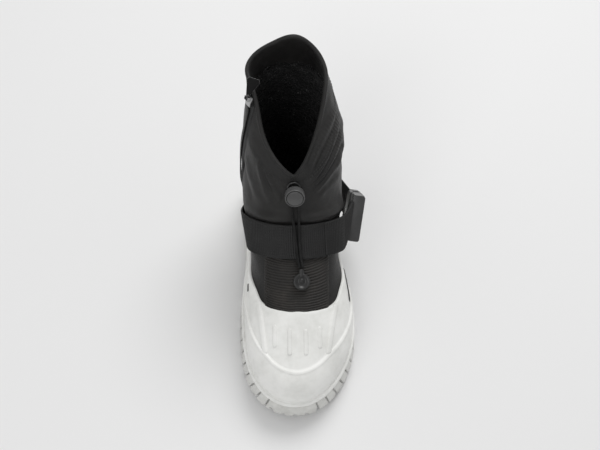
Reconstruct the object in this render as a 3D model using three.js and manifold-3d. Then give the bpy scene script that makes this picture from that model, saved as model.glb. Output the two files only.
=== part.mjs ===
// Snow boot for the left foot: white rubber shell and sole, black textile shaft with a drawcord,
// an instep strap with a buckle on the lateral side and a zip on the medial side.
// Millimetres. +Z is up, the toe points along -Y, +X is the lateral (outer) side.
// The origin is on the floor under the middle of the heel.
import * as THREE from 'three';
import * as BufferGeometryUtils from 'three/addons/utils/BufferGeometryUtils.js';
import Module from 'manifold-3d';

const wasm = await Module();
wasm.setup();

// Sole sizes
const SOLE_LENGTH = 284;
const HEEL_REACH = 40;
const SOLE_WIDTH = 108;
const WAIST_WIDTH = 88;
const HEEL_WIDTH = 86;
const SOLE_TOP_TOE = 27;
const SOLE_TOP_HEEL = 34;
const TOE_SPRING = 9;
const HEEL_LIFT = 3;
const ARCH_RISE = 5;
const SOLE_FLARE = 8.5;
const BEAD_WIDTH = 2.4;
const BEAD_GAP = 0.8;
const BEAD_HEIGHT = 1.2;
const GROOVE_WIDTH = 4;
const GROOVE_DEPTH = 4.5;
const GROOVE_PITCH = 22;
const SLIT_WIDTH = 1.4;
const SLIT_DEPTH = 3;
const SLIT_PITCH = 13;
const INSOLE_THICKNESS = 4;

// Upper sizes
const VAMP_RISE = 50;
const COLLAR_FRONT = 170;
const COLLAR_BACK = 232;
const SHAFT_WIDTH = 90;
const UPPER_WALL = 3.5;
const SHELL_WALL = 2.2;
const BUMPER_STEP = 1.6;
const PANEL_THICKNESS = 1;
const INSET_THICKNESS = 0.6;
const FIT = 0.3;

// Trim sizes
const STRAP_WIDTH = 30;
const STRAP_THICKNESS = 1.5;
const STRAP_SLOPE = 35;
const BUCKLE_WIDTH = 43;
const BUCKLE_THICKNESS = 13;
const SOCKET_LENGTH = 33;
const PLUG_LENGTH = 20;
const BAR_RADIUS = 1.7;
const ZIP_TAPE_WIDTH = 20;
const ZIP_CHAIN_WIDTH = 6;
const ZIP_CHAIN_HEIGHT = 1.3;
const SLIDER_LENGTH = 9;
const SLIDER_WIDTH = 8;
const PULL_LENGTH = 22;
const PULL_WIDTH = 12;
const PULL_THICKNESS = 1.6;
const PIN_RADIUS = 0.8;
const PIN_BACK = 1.8;
const POST_WIDTH = 1;
const GROMMET_RADIUS = 6;
const GROMMET_BORE = 3.2;
const LOCK_RADIUS = 8.8;
const LOCK_DEPTH = 8;
const BUTTON_RADIUS = 7.2;
const BUTTON_TRAVEL = 2;
const CORD_RADIUS = 1.2;
const CORD_END_RADIUS = 7.5;

// The surface of the upper. Every ring runs round the boot: front, lateral side, back, medial side.
// Lengths are measured back from the toe tip as shares of the sole length.
const TOE_REACH = SOLE_LENGTH - HEEL_REACH;
const BALL_HALF = SOLE_WIDTH / 2 - SOLE_FLARE;
const WAIST_HALF = WAIST_WIDTH / 2 - SOLE_FLARE;
const HEEL_HALF = HEEL_WIDTH / 2 - SOLE_FLARE;
const BALL_AT = 0.33 * SOLE_LENGTH;
const WAIST_AT = 0.6 * SOLE_LENGTH;
const HEEL_AT = 0.85 * SOLE_LENGTH;

// Foot rings: rises are shares of the vamp's rise, half widths shares of the feather outline's own and
// full widens them again at the waist, nose and tail are the shares of the ring's length over which
// its ends are rounded.
const FOOT_RINGS = [
  { front: 0.031, rise: 0, back: 0.977, heelRise: 0, width: 1, full: 1, nose: 0.3, tail: 0.15, swing: 1 },
  { front: 0.034, rise: 0.22, back: 0.981, heelRise: 0.3, width: 1.02, full: 1, nose: 0.3, tail: 0.16,
    swing: 1 },
  { front: 0.066, rise: 0.44, back: 0.981, heelRise: 0.62, width: 0.99, full: 1.01, nose: 0.33, tail: 0.18,
    swing: 0.95 },
  { front: 0.146, rise: 0.7, back: 0.978, heelRise: 0.92, width: 0.95, full: 1.12, nose: 0.37, tail: 0.22,
    swing: 0.85 },
  { front: 0.252, rise: 1, back: 0.974, heelRise: 1.2, width: 0.93, full: 1.22, nose: 0.41, tail: 0.28,
    swing: 0.65 },
];
// Shaft rings: heights are shares of the collar's own heights, side widths shares of half the shaft's width.
const SHAFT_RINGS = [
  { front: 0.382, height: 0.597, back: 0.965, heelHeight: 0.49, lateral: 1.03, medial: 1,
    heel: 0.93, nose: 0.46, tail: 0.34, round: 2.1, swing: 0.25 },
  { front: 0.467, height: 0.742, back: 0.954, heelHeight: 0.6, lateral: 1.04, medial: 1,
    heel: 0.98, nose: 0.5, tail: 0.4, round: 2.1, swing: 0 },
  { front: 0.513, height: 0.876, back: 0.944, heelHeight: 0.73, lateral: 1, medial: 0.99,
    heel: 1, nose: 0.5, tail: 0.42, round: 2, swing: 0 },
  { front: 0.529, height: 0.953, back: 0.933, heelHeight: 0.88, lateral: 0.83, medial: 0.98,
    heel: 1, nose: 0.55, tail: 0.4, round: 1.9, swing: 0 },
  { front: 0.535, height: 1, back: 0.922, heelHeight: 1, lateral: 0.64, medial: 0.94,
    heel: 1.06, nose: 0.7, tail: 0.28, round: 1.6, swing: 0 },
];
// Levels over which offsets turn from level at the feather line to square to the surface.
const FEATHER_BLEND = 0.8;
const COLLAR_LEVEL = FOOT_RINGS.length + SHAFT_RINGS.length - 1;
// Sideways shift of the foot's centre line, as shares of the sole's width.
const SWING = [
  { at: 0, shift: 0.025 },
  { at: 0.3, shift: 0.072 },
  { at: 0.6, shift: 0.028 },
  { at: 1, shift: 0 },
];

const RINGS = [
  ...FOOT_RINGS.map((row) => ({
    front: row.front * SOLE_LENGTH,
    frontZ: SOLE_TOP_TOE + row.rise * VAMP_RISE,
    back: row.back * SOLE_LENGTH,
    backZ: SOLE_TOP_HEEL + row.heelRise * VAMP_RISE,
    ball: row.width * BALL_HALF,
    waist: row.width * row.full * WAIST_HALF,
    heel: row.width * HEEL_HALF,
    nose: row.nose,
    tail: row.tail,
    round: 2.1,
    swing: row.swing,
    lateral: 1,
    medial: 1,
  })),
  ...SHAFT_RINGS.map((row) => ({
    front: row.front * SOLE_LENGTH,
    frontZ: row.height * COLLAR_FRONT,
    back: row.back * SOLE_LENGTH,
    backZ: row.heelHeight * COLLAR_BACK,
    ball: SHAFT_WIDTH / 2,
    waist: SHAFT_WIDTH / 2,
    heel: SHAFT_WIDTH / 2 * row.heel,
    nose: row.nose,
    tail: row.tail,
    round: row.round,
    swing: row.swing,
    lateral: row.lateral,
    medial: row.medial,
  })),
];

const lerp = (a, b, share) => a + (b - a) * share;
const clamp = (value, low, high) => Math.min(high, Math.max(low, value));
const degrees = (value) => value * Math.PI / 180;

function ease(share) {
  const s = clamp(share, 0, 1);
  return s * s * (3 - 2 * s);
}

// Dents of the surface: a place by angle and level, its reach in both, and its depth as a share of
// half the shaft's width. The zip's top is drawn in a little.
const DENTS = [
  { angle: -95, level: 9, reach: 25, levels: 1.3, depth: 0.13 },
];

function dentDepth(angle, level) {
  let depth = 0;
  for (const dent of DENTS) {
    const round = (angle - degrees(dent.angle)) / degrees(dent.reach);
    const up = (level - dent.level) / dent.levels;
    depth += dent.depth * SHAFT_WIDTH / 2 * Math.exp(-round * round - up * up);
  }
  return depth;
}

// A value read from rows { at, [key] } with eased steps between them.
function tableValue(rows, key, at, step = ease) {
  if (at <= rows[0].at) return rows[0][key];
  for (let i = 1; i < rows.length; i += 1) {
    if (at <= rows[i].at) {
      const share = (at - rows[i - 1].at) / (rows[i].at - rows[i - 1].at);
      return lerp(rows[i - 1][key], rows[i][key], step(share));
    }
  }
  return rows[rows.length - 1][key];
}

const straight = (share) => share;

// The ring at a level between 0 (feather line) and COLLAR_LEVEL, by a smooth curve through the rows.
function ringAt(level) {
  const k = clamp(Math.floor(level), 0, RINGS.length - 2);
  const s = level - k;
  const before = RINGS[Math.max(k - 1, 0)];
  const from = RINGS[k];
  const to = RINGS[k + 1];
  const after = RINGS[Math.min(k + 2, RINGS.length - 1)];
  const ring = {};
  for (const key of Object.keys(from)) {
    const slopeIn = (to[key] - before[key]) / 2;
    const slopeOut = (after[key] - from[key]) / 2;
    const a = 2 * from[key] - 2 * to[key] + slopeIn + slopeOut;
    const b = -3 * from[key] + 3 * to[key] - 2 * slopeIn - slopeOut;
    ring[key] = ((a * s + b) * s + slopeIn) * s + from[key];
  }
  return ring;
}

function roundedEnd(share, round) {
  return Math.pow(1 - Math.pow(1 - clamp(share, 0, 1), round), 1 / round);
}

// Point of the upper's outside at an angle (0 front, + lateral, 180 back) and a level.
function surfacePoint(turn, level) {
  const angle = Math.atan2(Math.sin(turn), Math.cos(turn));
  const ring = ringAt(level);
  const length = ring.back - ring.front;
  const share = (1 - Math.cos(angle)) / 2;
  const along = ring.front + share * length;
  const widths = [
    { at: BALL_AT, half: ring.ball },
    { at: WAIST_AT, half: ring.waist },
    { at: HEEL_AT, half: ring.heel },
  ];
  const half = tableValue(widths, 'half', along)
    * roundedEnd(share / ring.nose, ring.round) * roundedEnd((1 - share) / ring.tail, 2.2);
  const centre = ring.swing * SOLE_WIDTH * tableValue(SWING, 'shift', along / SOLE_LENGTH);
  const side = angle > 0 ? ring.lateral : -ring.medial;
  const x = centre + side * half - Math.sign(side) * dentDepth(angle, level);
  return new THREE.Vector3(x, along - TOE_REACH, lerp(ring.frontZ, ring.backZ, share));
}

function surfaceNormal(angle, level) {
  const step = 0.02;
  const low = Math.max(level - step, 0);
  const high = Math.min(level + step, COLLAR_LEVEL);
  const round = surfacePoint(angle + step, level).sub(surfacePoint(angle - step, level));
  const up = surfacePoint(angle, high).sub(surfacePoint(angle, low));
  const normal = round.cross(up).normalize();
  normal.z *= clamp(level / FEATHER_BLEND, 0, 1);
  return normal.normalize();
}

function surfaceOffset(angle, level, offset) {
  return surfacePoint(angle, level).addScaledVector(surfaceNormal(angle, level), offset);
}

// Level at which a rising measure of the surface point reaches a value.
function levelWhere(angle, measure, value) {
  let from = 0;
  let to = COLLAR_LEVEL;
  for (let i = 0; i < 40; i += 1) {
    const middle = (from + to) / 2;
    if (measure(surfacePoint(angle, middle)) < value) from = middle;
    else to = middle;
  }
  return (from + to) / 2;
}

// Angle and level of the point of the vamp at a place seen from above.
function vampPlace(x, y) {
  let low = 0.3;
  let high = 5.5;
  const angleAt = (level) => {
    const ring = ringAt(level);
    const share = clamp((y + TOE_REACH - ring.front) / (ring.back - ring.front), 0, 1);
    return Math.acos(1 - 2 * share);
  };
  const middleX = surfacePoint(0, 2).x;
  const side = Math.sign(x - middleX) || 1;
  for (let i = 0; i < 40; i += 1) {
    const level = (low + high) / 2;
    const point = surfacePoint(side * angleAt(level), level);
    if (side * (point.x - x) > 0 && angleAt(level) > 0) low = level;
    else high = level;
  }
  const level = (low + high) / 2;
  return { angle: side * angleAt(level), level };
}

// Solids from triangles
function solidFromTriangles(positions, faces) {
  return new wasm.Manifold(new wasm.Mesh({
    numProp: 3,
    vertProperties: new Float32Array(positions.flatMap((p) => [p.x, p.y, p.z])),
    triVerts: new Uint32Array(faces),
  }));
}

// The solid of the faces, turned over where they point inward.
function outwardSolid(positions, faces) {
  const solid = solidFromTriangles(positions, faces);
  return solid.volume() < 0 ? solidFromTriangles(positions, [...faces].reverse()) : solid;
}

function solidFromGeometry(geometry) {
  const bare = geometry.index ? geometry.toNonIndexed() : geometry.clone();
  bare.deleteAttribute('normal');
  bare.deleteAttribute('uv');
  const merged = BufferGeometryUtils.mergeVertices(bare, 1e-4);
  return new wasm.Manifold(new wasm.Mesh({
    numProp: 3,
    vertProperties: new Float32Array(merged.attributes.position.array),
    triVerts: new Uint32Array(merged.index.array),
  }));
}

function geometryFromSolid(solid) {
  const mesh = solid.getMesh();
  const geometry = new THREE.BufferGeometry();
  const count = mesh.vertProperties.length / mesh.numProp;
  const positions = new Float32Array(count * 3);
  for (let i = 0; i < count; i += 1) {
    for (let axis = 0; axis < 3; axis += 1) {
      positions[3 * i + axis] = mesh.vertProperties[mesh.numProp * i + axis];
    }
  }
  geometry.setAttribute('position', new THREE.BufferAttribute(positions, 3));
  geometry.setIndex(new THREE.BufferAttribute(new Uint32Array(mesh.triVerts), 1));
  geometry.computeVertexNormals();
  return geometry;
}

// Faces between neighbouring rings, and from the last ring to the first when closed is true.
function sideFaces(rings, closed) {
  const count = rings[0].length;
  const faces = [];
  const last = closed ? rings.length : rings.length - 1;
  for (let i = 0; i < last; i += 1) {
    const next = (i + 1) % rings.length;
    for (let j = 0; j < count; j += 1) {
      const k = (j + 1) % count;
      const a = i * count + j;
      const b = i * count + k;
      const c = next * count + k;
      const d = next * count + j;
      faces.push(a, b, c, a, c, d);
    }
  }
  return faces;
}

// A closed tube of rings: each ring a list of points, every ring the same count. Loops close both
// ways when closed is true, otherwise the two end rings are filled from their middles. Rings that run
// round the boot are filled by rungs from side to side instead, so that a bent end keeps its profile.
function solidFromRings(rings, closed = false, rungs = false) {
  const count = rings[0].length;
  const positions = rings.flat();
  const faces = sideFaces(rings, closed);
  if (!closed) {
    for (const [ring, flip] of [[0, true], [rings.length - 1, false]]) {
      if (rungs) {
        for (let j = 0; j < count / 2; j += 1) {
          const a = ring * count + j;
          const b = a + 1;
          const c = ring * count + (count - j) % count;
          const d = ring * count + count - j - 1;
          const quad = j === 0 ? [a, b, d] : j === count / 2 - 1 ? [a, b, c] : [a, b, d, a, d, c];
          faces.push(...(flip ? quad.reverse() : quad));
        }
        continue;
      }
      const centre = new THREE.Vector3();
      for (const point of rings[ring]) centre.addScaledVector(point, 1 / count);
      positions.push(centre);
      const middle = positions.length - 1;
      for (let j = 0; j < count; j += 1) {
        const a = ring * count + j;
        const b = ring * count + (j + 1) % count;
        faces.push(...(flip ? [middle, b, a] : [middle, a, b]));
      }
    }
  }
  return outwardSolid(positions, faces);
}

// A wall over a grid of places: near and far give the two faces, and round closes the grid on itself.
function wallSolid(columns, rows, near, far, round) {
  const rings = [];
  for (let i = 0; i < columns; i += 1) {
    const share = i / (round ? columns : columns - 1);
    const ring = [];
    for (let j = 0; j < rows; j += 1) ring.push(far(share, j / (rows - 1)));
    for (let j = rows - 1; j >= 0; j -= 1) ring.push(near(share, j / (rows - 1)));
    rings.push(ring);
  }
  return round ? solidFromRings(rings, true) : patchSolid(rings, rows);
}

// Like solidFromRings with filled ends, but each end is a strip of quads, so that a curved end stays true.
function patchSolid(rings, rows) {
  const count = rings[0].length;
  const positions = rings.flat();
  const faces = sideFaces(rings, false);
  for (const [ring, flip] of [[0, true], [rings.length - 1, false]]) {
    for (let j = 0; j < rows - 1; j += 1) {
      const a = ring * count + j;
      const b = a + 1;
      const c = ring * count + count - 1 - j;
      const d = c - 1;
      const quad = [a, b, d, a, d, c];
      faces.push(...(flip ? quad.reverse() : quad));
    }
  }
  return outwardSolid(positions, faces);
}

// Depth by which the inner face of an overlay reaches into the upper before the upper's form is cut from it.
const CUT_DEPTH = 1.5;
const angleOf = (share) => lerp(-Math.PI, Math.PI, share);

// Edge lines on the upper's surface: the level of an edge at an angle in degrees from the front.
const SHELL_EDGE = [
  { at: 0, level: 3.97 },
  { at: 15, level: 3.9 },
  { at: 25, level: 3.79 },
  { at: 33, level: 3.65 },
  { at: 40, level: 3.52 },
  { at: 46, level: 3.42 },
  { at: 52, level: 3.45 },
  { at: 60, level: 3.3 },
  { at: 70, level: 3.05 },
  { at: 82, level: 2.95 },
  { at: 100, level: 3 },
  { at: 120, level: 3.5 },
  { at: 138, level: 4.05 },
  { at: 153, level: 4.4 },
  { at: 180, level: 4.6 },
];
const BUMPER_EDGE = [
  { at: 0, level: 2.22 },
  { at: 30, level: 2.3 },
  { at: 45, level: 2.1 },
  { at: 65, level: 1.75 },
  { at: 100, level: 1.4 },
  { at: 180, level: 1.3 },
];
const edgeLevel = (rows, angle) => tableValue(rows, 'level', Math.abs(angle) * 180 / Math.PI, straight);

const shellOutside = FIT + SHELL_WALL;
const bumperOutside = shellOutside + BUMPER_STEP;
const beadOutside = bumperOutside + BEAD_GAP + BEAD_WIDTH;

// The upper's columns round the boot and rows up it. Every form that is cut to it uses the same ones.
const UPPER_COLUMNS = 36;
const UPPER_ROWS = 18;
const RIM_ROUND = 0.8;

// The filled form of the upper, moved outward by an offset, from below the feather line to the collar.
function filledForm(offset) {
  const rings = [];
  for (let i = -1; i < UPPER_ROWS; i += 1) {
    const level = Math.max(i, 0) / (UPPER_ROWS - 1) * COLLAR_LEVEL;
    const ring = [];
    for (let j = 0; j < UPPER_COLUMNS; j += 1) {
      const point = surfaceOffset(angleOf(j / UPPER_COLUMNS), level, offset);
      if (i < 0) point.z -= UPPER_WALL;
      ring.push(point);
    }
    rings.push(ring);
  }
  return solidFromRings(rings, false, true);
}

// Upper: one hollow wall from the feather line to the collar, open at both.
function upper() {
  const roundTop = (v) => (v === 1 ? RIM_ROUND : 0);
  return wallSolid(
    UPPER_COLUMNS,
    UPPER_ROWS,
    (u, v) => surfaceOffset(angleOf(u), v * COLLAR_LEVEL, -UPPER_WALL + roundTop(v)),
    (u, v) => surfaceOffset(angleOf(u), v * COLLAR_LEVEL, -roundTop(v)),
    true,
  );
}

// Angles of the shell's columns, with one at each corner of its top edge.
const SHELL_ANGLES = [0, 11, 22, 32, 39, 46, 52, 60, 70, 82, 100, 120, 138, 153, 167, 180];

// Shell: rubber wall outside the foot of the upper, thicker in the bumper below its step.
function shell() {
  const signed = [
    ...SHELL_ANGLES.slice(1).reverse().map((angle) => -angle),
    ...SHELL_ANGLES.slice(0, -1),
  ].map(degrees);
  const rings = signed.map((angle) => {
    const edge = edgeLevel(SHELL_EDGE, angle);
    const step = edgeLevel(BUMPER_EDGE, angle);
    const outer = [
      ...[0, 0.25, 0.5, 0.75].map((share) => [step * share, bumperOutside]),
      [step - 0.12, bumperOutside],
      [step, bumperOutside - 0.5], [step + 0.05, shellOutside],
      [lerp(step, edge, 0.33), shellOutside], [lerp(step, edge, 0.67), shellOutside],
      [edge - 0.06, shellOutside], [edge, shellOutside - 0.7],
    ];
    const inner = [edge, lerp(step, edge, 0.5), step, step * 0.5, 0];
    return [
      ...outer.map(([level, offset]) => surfaceOffset(angle, level, offset)),
      ...inner.map((level) => surfaceOffset(angle, level, -CUT_DEPTH)),
    ];
  });
  let solid = solidFromRings(rings, true);
  for (const strip of [...shellRidges(), ...shellBars()]) solid = solid.add(strip);
  return solid.subtract(filledForm(FIT));
}

// A raised strip along places of the surface, with tapered ends and a foot sunk in the wall below.
function raisedStrip(places, base, halfWidth, height) {
  const points = places.map(({ angle, level }) => surfaceOffset(angle, level, base));
  const rings = places.map(({ angle, level }, i) => {
    const normal = surfaceNormal(angle, level);
    const ahead = points[Math.min(i + 1, points.length - 1)].clone();
    const along = ahead.sub(points[Math.max(i - 1, 0)]).normalize();
    const across = along.clone().cross(normal).normalize();
    const end = i === 0 || i === points.length - 1;
    const wide = halfWidth * (end ? 0.5 : 1);
    const tall = height * (end ? 0.3 : 1);
    const sunk = Math.min(1, SHELL_WALL / 2);
    const outline = [[-1, -sunk], [-1, tall * 0.3], [-0.55, tall], [0.55, tall], [1, tall * 0.3], [1, -sunk]];
    return outline.map(([side, rise]) => points[i].clone()
      .addScaledVector(across, side * wide).addScaledVector(normal, rise));
  });
  return solidFromRings(rings);
}

// Two ridges from the corners of the shell's edge down to the bumper's step.
function shellRidges() {
  const corner = SHELL_EDGE[3];
  const foot = { at: 31, level: 2.36 };
  return [-1, 1].map((side) => {
    const places = [];
    for (let i = 0; i <= 7; i += 1) {
      const share = i / 7;
      places.push({
        angle: side * degrees(lerp(corner.at, foot.at, share)),
        level: lerp(corner.level - 0.05, foot.level, share),
      });
    }
    return raisedStrip(places, shellOutside, 2.2, 1.3);
  });
}

// Four bars on the vamp, each between two lengths back from the toe tip.
const BARS = [
  { across: -0.14, from: 0.152, to: 0.218 },
  { across: -0.023, from: 0.125, to: 0.202 },
  { across: 0.107, from: 0.125, to: 0.2 },
  { across: 0.22, from: 0.149, to: 0.212 },
];
const BAR_WIDTH = 4.4;
const BAR_HEIGHT = 1;

function shellBars() {
  return BARS.map((row) => {
    const places = [];
    for (let i = 0; i <= 6; i += 1) {
      const y = lerp(row.from, row.to, i / 6) * SOLE_LENGTH - TOE_REACH;
      places.push(vampPlace(row.across * SOLE_WIDTH, y));
    }
    return raisedStrip(places, shellOutside, BAR_WIDTH / 2, BAR_HEIGHT);
  });
}

// Outsole
const soleTop = (y) => {
  const feather = RINGS[0];
  const share = (y + TOE_REACH - feather.front) / (feather.back - feather.front);
  return lerp(SOLE_TOP_TOE, SOLE_TOP_HEEL, share) - FIT;
};

// Height of the tread's ground line: toe spring, flat forefoot, arch, flat heel and a lifted heel edge.
const GROUND = [
  { at: 0, height: 1 },
  { at: 0.06, height: 0.62 },
  { at: 0.12, height: 0.3 },
  { at: 0.2, height: 0 },
];
function ground(y) {
  const share = (y + TOE_REACH) / SOLE_LENGTH;
  const spring = TOE_SPRING * tableValue(GROUND, 'height', share, straight);
  const arch = ARCH_RISE * ease((share - 0.46) / 0.06) * ease((0.74 - share) / 0.04);
  const lift = HEEL_LIFT * ease((share - 0.95) / 0.06);
  return spring + arch + lift;
}

// The feather outline seen from above, moved outward by an offset.
function outlinePoint(angle, offset) {
  const point = surfacePoint(angle, 0);
  const step = 0.02;
  const along = surfacePoint(angle + step, 0).sub(surfacePoint(angle - step, 0));
  const out = new THREE.Vector3(along.y, -along.x, 0).normalize();
  return point.addScaledVector(out, offset);
}

function outlineRing(offset, height, count) {
  const ring = [];
  for (let j = 0; j < count; j += 1) {
    const point = outlinePoint(angleOf(j / count), offset);
    point.z = height(point.y);
    ring.push(point);
  }
  return ring;
}

const SOLE_COLUMNS = 40;
const CORE_INSET = 12;
const TREAD_INSET = 2.5;

function soleBody() {
  const count = SOLE_COLUMNS;
  const between = (share) => (y) => lerp(ground(y), soleTop(y), share);
  const below = (drop) => (y) => soleTop(y) - drop;
  return solidFromRings([
    outlineRing(-CORE_INSET, ground, count),
    outlineRing(SOLE_FLARE - TREAD_INSET, ground, count),
    outlineRing(SOLE_FLARE, between(0.12), count),
    outlineRing(SOLE_FLARE - 0.8, between(0.4), count),
    outlineRing(beadOutside - 1, below(5), count),
    outlineRing(beadOutside - 1.4, below(4), count),
    outlineRing(beadOutside - 0.4, below(3), count),
    outlineRing(beadOutside, below(1.4), count),
    outlineRing(beadOutside - 0.5, below(-BEAD_HEIGHT * 0.7), count),
    outlineRing(beadOutside - 1.2, below(-BEAD_HEIGHT), count),
    outlineRing(beadOutside - BEAD_WIDTH, below(0), count),
    outlineRing(-CORE_INSET, below(0), count),
  ], false, true);
}

function box(width, depth, height, matrix) {
  const geometry = new THREE.BoxGeometry(width, depth, height);
  geometry.applyMatrix4(matrix);
  return solidFromGeometry(geometry);
}

function placed(position, zTurn = 0, xTurn = 0) {
  const turn = new THREE.Quaternion().setFromEuler(new THREE.Euler(xTurn, 0, zTurn, 'ZYX'));
  return new THREE.Matrix4().compose(position, turn, new THREE.Vector3(1, 1, 1));
}

const CHEVRON_ANGLE = 14;

// Chevron grooves across the tread, one pair in each pitch, and a groove along the middle.
function treadGrooves() {
  const grooves = [];
  const count = Math.floor(SOLE_LENGTH / GROOVE_PITCH);
  const middle = SOLE_WIDTH * 0.03;
  const reach = SOLE_WIDTH * 0.6;
  for (let i = 1; i < count; i += 1) {
    const y = i * GROOVE_PITCH - TOE_REACH;
    for (const side of [-1, 1]) {
      const centre = new THREE.Vector3(middle + side * reach * 0.45, y, ground(y));
      const turn = side * degrees(CHEVRON_ANGLE);
      grooves.push(box(reach, GROOVE_WIDTH, 2 * GROOVE_DEPTH, placed(centre, turn)));
    }
  }
  const spine = new THREE.Vector3(middle, SOLE_LENGTH / 2 - TOE_REACH, 0);
  grooves.push(box(GROOVE_WIDTH, SOLE_LENGTH * 0.68, 2 * GROOVE_DEPTH, placed(spine)));
  return grooves;
}

// Slanted slits round the sidewall, one in each pitch of the outline's length, wider apart and
// upright round the toe.
const TOE_BLOCKS = 24;
const TOE_PITCH = 22;
const SLIT_LEAN = 10;

function sideSlits() {
  const slits = [];
  let travelled = 0;
  let previous = outlinePoint(-Math.PI, SOLE_FLARE);
  const steps = 720;
  for (let i = 1; i <= steps; i += 1) {
    const angle = angleOf(i / steps);
    const point = outlinePoint(angle, SOLE_FLARE);
    travelled += point.distanceTo(previous);
    previous = point.clone();
    const toe = Math.abs(angle) < degrees(TOE_BLOCKS);
    if (travelled >= (toe ? TOE_PITCH : SLIT_PITCH)) {
      travelled = 0;
      const low = ground(point.y);
      const high = soleTop(point.y) - 6;
      const normal = point.clone().sub(outlinePoint(angle, 0)).setZ(0).normalize();
      point.z = (low + high) / 2 - 1;
      const turn = Math.atan2(normal.y, normal.x);
      const lean = toe ? 0 : Math.sign(angle) * degrees(SLIT_LEAN);
      slits.push(box(2 * SLIT_DEPTH, SLIT_WIDTH, high - low + 2, placed(point, turn, lean)));
    }
  }
  return slits;
}

function outsole() {
  let solid = soleBody();
  for (const cut of [...treadGrooves(), ...sideSlits()]) solid = solid.subtract(cut);
  return solid;
}

// Insole: a board inside the upper's wall, lying on the sole.
const INSOLE_COLUMNS = 32;

function insole() {
  const count = INSOLE_COLUMNS;
  const inset = -(UPPER_WALL + 4 * FIT);
  const above = (rise) => (y) => soleTop(y) + FIT + rise;
  return solidFromRings([
    outlineRing(inset, above(0), count),
    outlineRing(inset, above(INSOLE_THICKNESS - 1), count),
    outlineRing(inset - 1, above(INSOLE_THICKNESS), count),
  ], false, true);
}

// Angle at which a level of the surface lies a distance across from the middle plane.
function angleAcross(x, level) {
  const side = Math.sign(x) || 1;
  let low = 0;
  let high = Math.PI / 2;
  for (let i = 0; i < 30; i += 1) {
    const middle = (low + high) / 2;
    if (side * surfacePoint(side * middle, level).x < side * x) low = middle;
    else high = middle;
  }
  return side * (low + high) / 2;
}

// Strap: a band over the instep between two slanted planes.
const STRAP_AT = 0.428;
const slope = degrees(STRAP_SLOPE);
const strapAcross = new THREE.Vector3(0, Math.sin(slope), Math.cos(slope));
const strapMeasure = (point) => point.dot(strapAcross);
const strapCrossing = surfacePoint(0, levelWhere(0, (point) => point.y, STRAP_AT * SOLE_LENGTH - TOE_REACH));

// Ribbed panel on the vamp, from the shell's edge to the middle of the strap.
const PANEL_MEDIAL = -0.23;
const PANEL_LATERAL = 0.31;
const panelOutside = FIT + PANEL_THICKNESS;

function vampPanel() {
  const middle = levelWhere(0, strapMeasure, strapMeasure(strapCrossing));
  const place = (u, v, offset) => {
    const x = lerp(PANEL_MEDIAL, PANEL_LATERAL, u) * SOLE_WIDTH;
    let angle = angleAcross(x, 4);
    for (let i = 0; i < 4; i += 1) angle = angleAcross(x, edgeLevel(SHELL_EDGE, angle) + 0.06);
    const low = edgeLevel(SHELL_EDGE, angle) + 0.06;
    const level = lerp(low, middle, v);
    return surfaceOffset(angleAcross(x, level), level, offset);
  };
  const form = wallSolid(
    11,
    8,
    (u, v) => place(u, v, -CUT_DEPTH),
    (u, v) => place(u, v, panelOutside),
    false,
  );
  return form.subtract(filledForm(FIT));
}

// Buckle: its own axes run along the strap, across it and outward, from the middle of the plug's bar.
const BUCKLE_BACK = 44;
const BUCKLE_DROP = 25;
const BUCKLE_STANDOFF = 16;
const BUCKLE_SLOPE = 48;
const BUCKLE_ROLL = 8;
const barPlace = new THREE.Vector3(
  SHAFT_WIDTH / 2 + BUCKLE_STANDOFF,
  strapCrossing.y + BUCKLE_BACK,
  strapCrossing.z - BUCKLE_DROP,
);
const buckleSlope = degrees(BUCKLE_SLOPE);
const buckleMatrix = new THREE.Matrix4()
  .makeBasis(
    new THREE.Vector3(0, Math.cos(buckleSlope), -Math.sin(buckleSlope)),
    new THREE.Vector3(0, Math.sin(buckleSlope), Math.cos(buckleSlope)),
    new THREE.Vector3(1, 0, 0),
  )
  .setPosition(barPlace)
  .multiply(new THREE.Matrix4().makeRotationX(degrees(BUCKLE_ROLL)));
const bucklePoint = (along, across, out) => new THREE.Vector3(along, across, out).applyMatrix4(buckleMatrix);

const LOOP_RADIUS = BAR_RADIUS + FIT + STRAP_THICKNESS / 2;
const RETURN_LENGTH = 12;
const RETURN_SPREAD = 2.5;
const STRAP_ACROSS = 5;
const PLUG_HALF = BUCKLE_THICKNESS / 2 - 1;
const END_WALL_AT = -8.5;
const END_WALL_THICKNESS = 2.5;

function hermite(from, fromSlope, to, toSlope, s) {
  const point = from.clone().multiplyScalar(2 * s ** 3 - 3 * s ** 2 + 1);
  point.addScaledVector(fromSlope, s ** 3 - 2 * s ** 2 + s);
  point.addScaledVector(to, -2 * s ** 3 + 3 * s ** 2);
  point.addScaledVector(toSlope, s ** 3 - s ** 2);
  return point;
}

// Places (along, out) on the turn round a bar: 0 degrees is inside, 90 beyond it, 180 outside.
function turnRound(from, to, steps) {
  return Array.from({ length: steps + 1 }, (_, i) => {
    const turn = degrees(lerp(from, to, i / steps));
    return [Math.sin(turn) * LOOP_RADIUS, -Math.cos(turn) * LOOP_RADIUS];
  });
}

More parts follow.
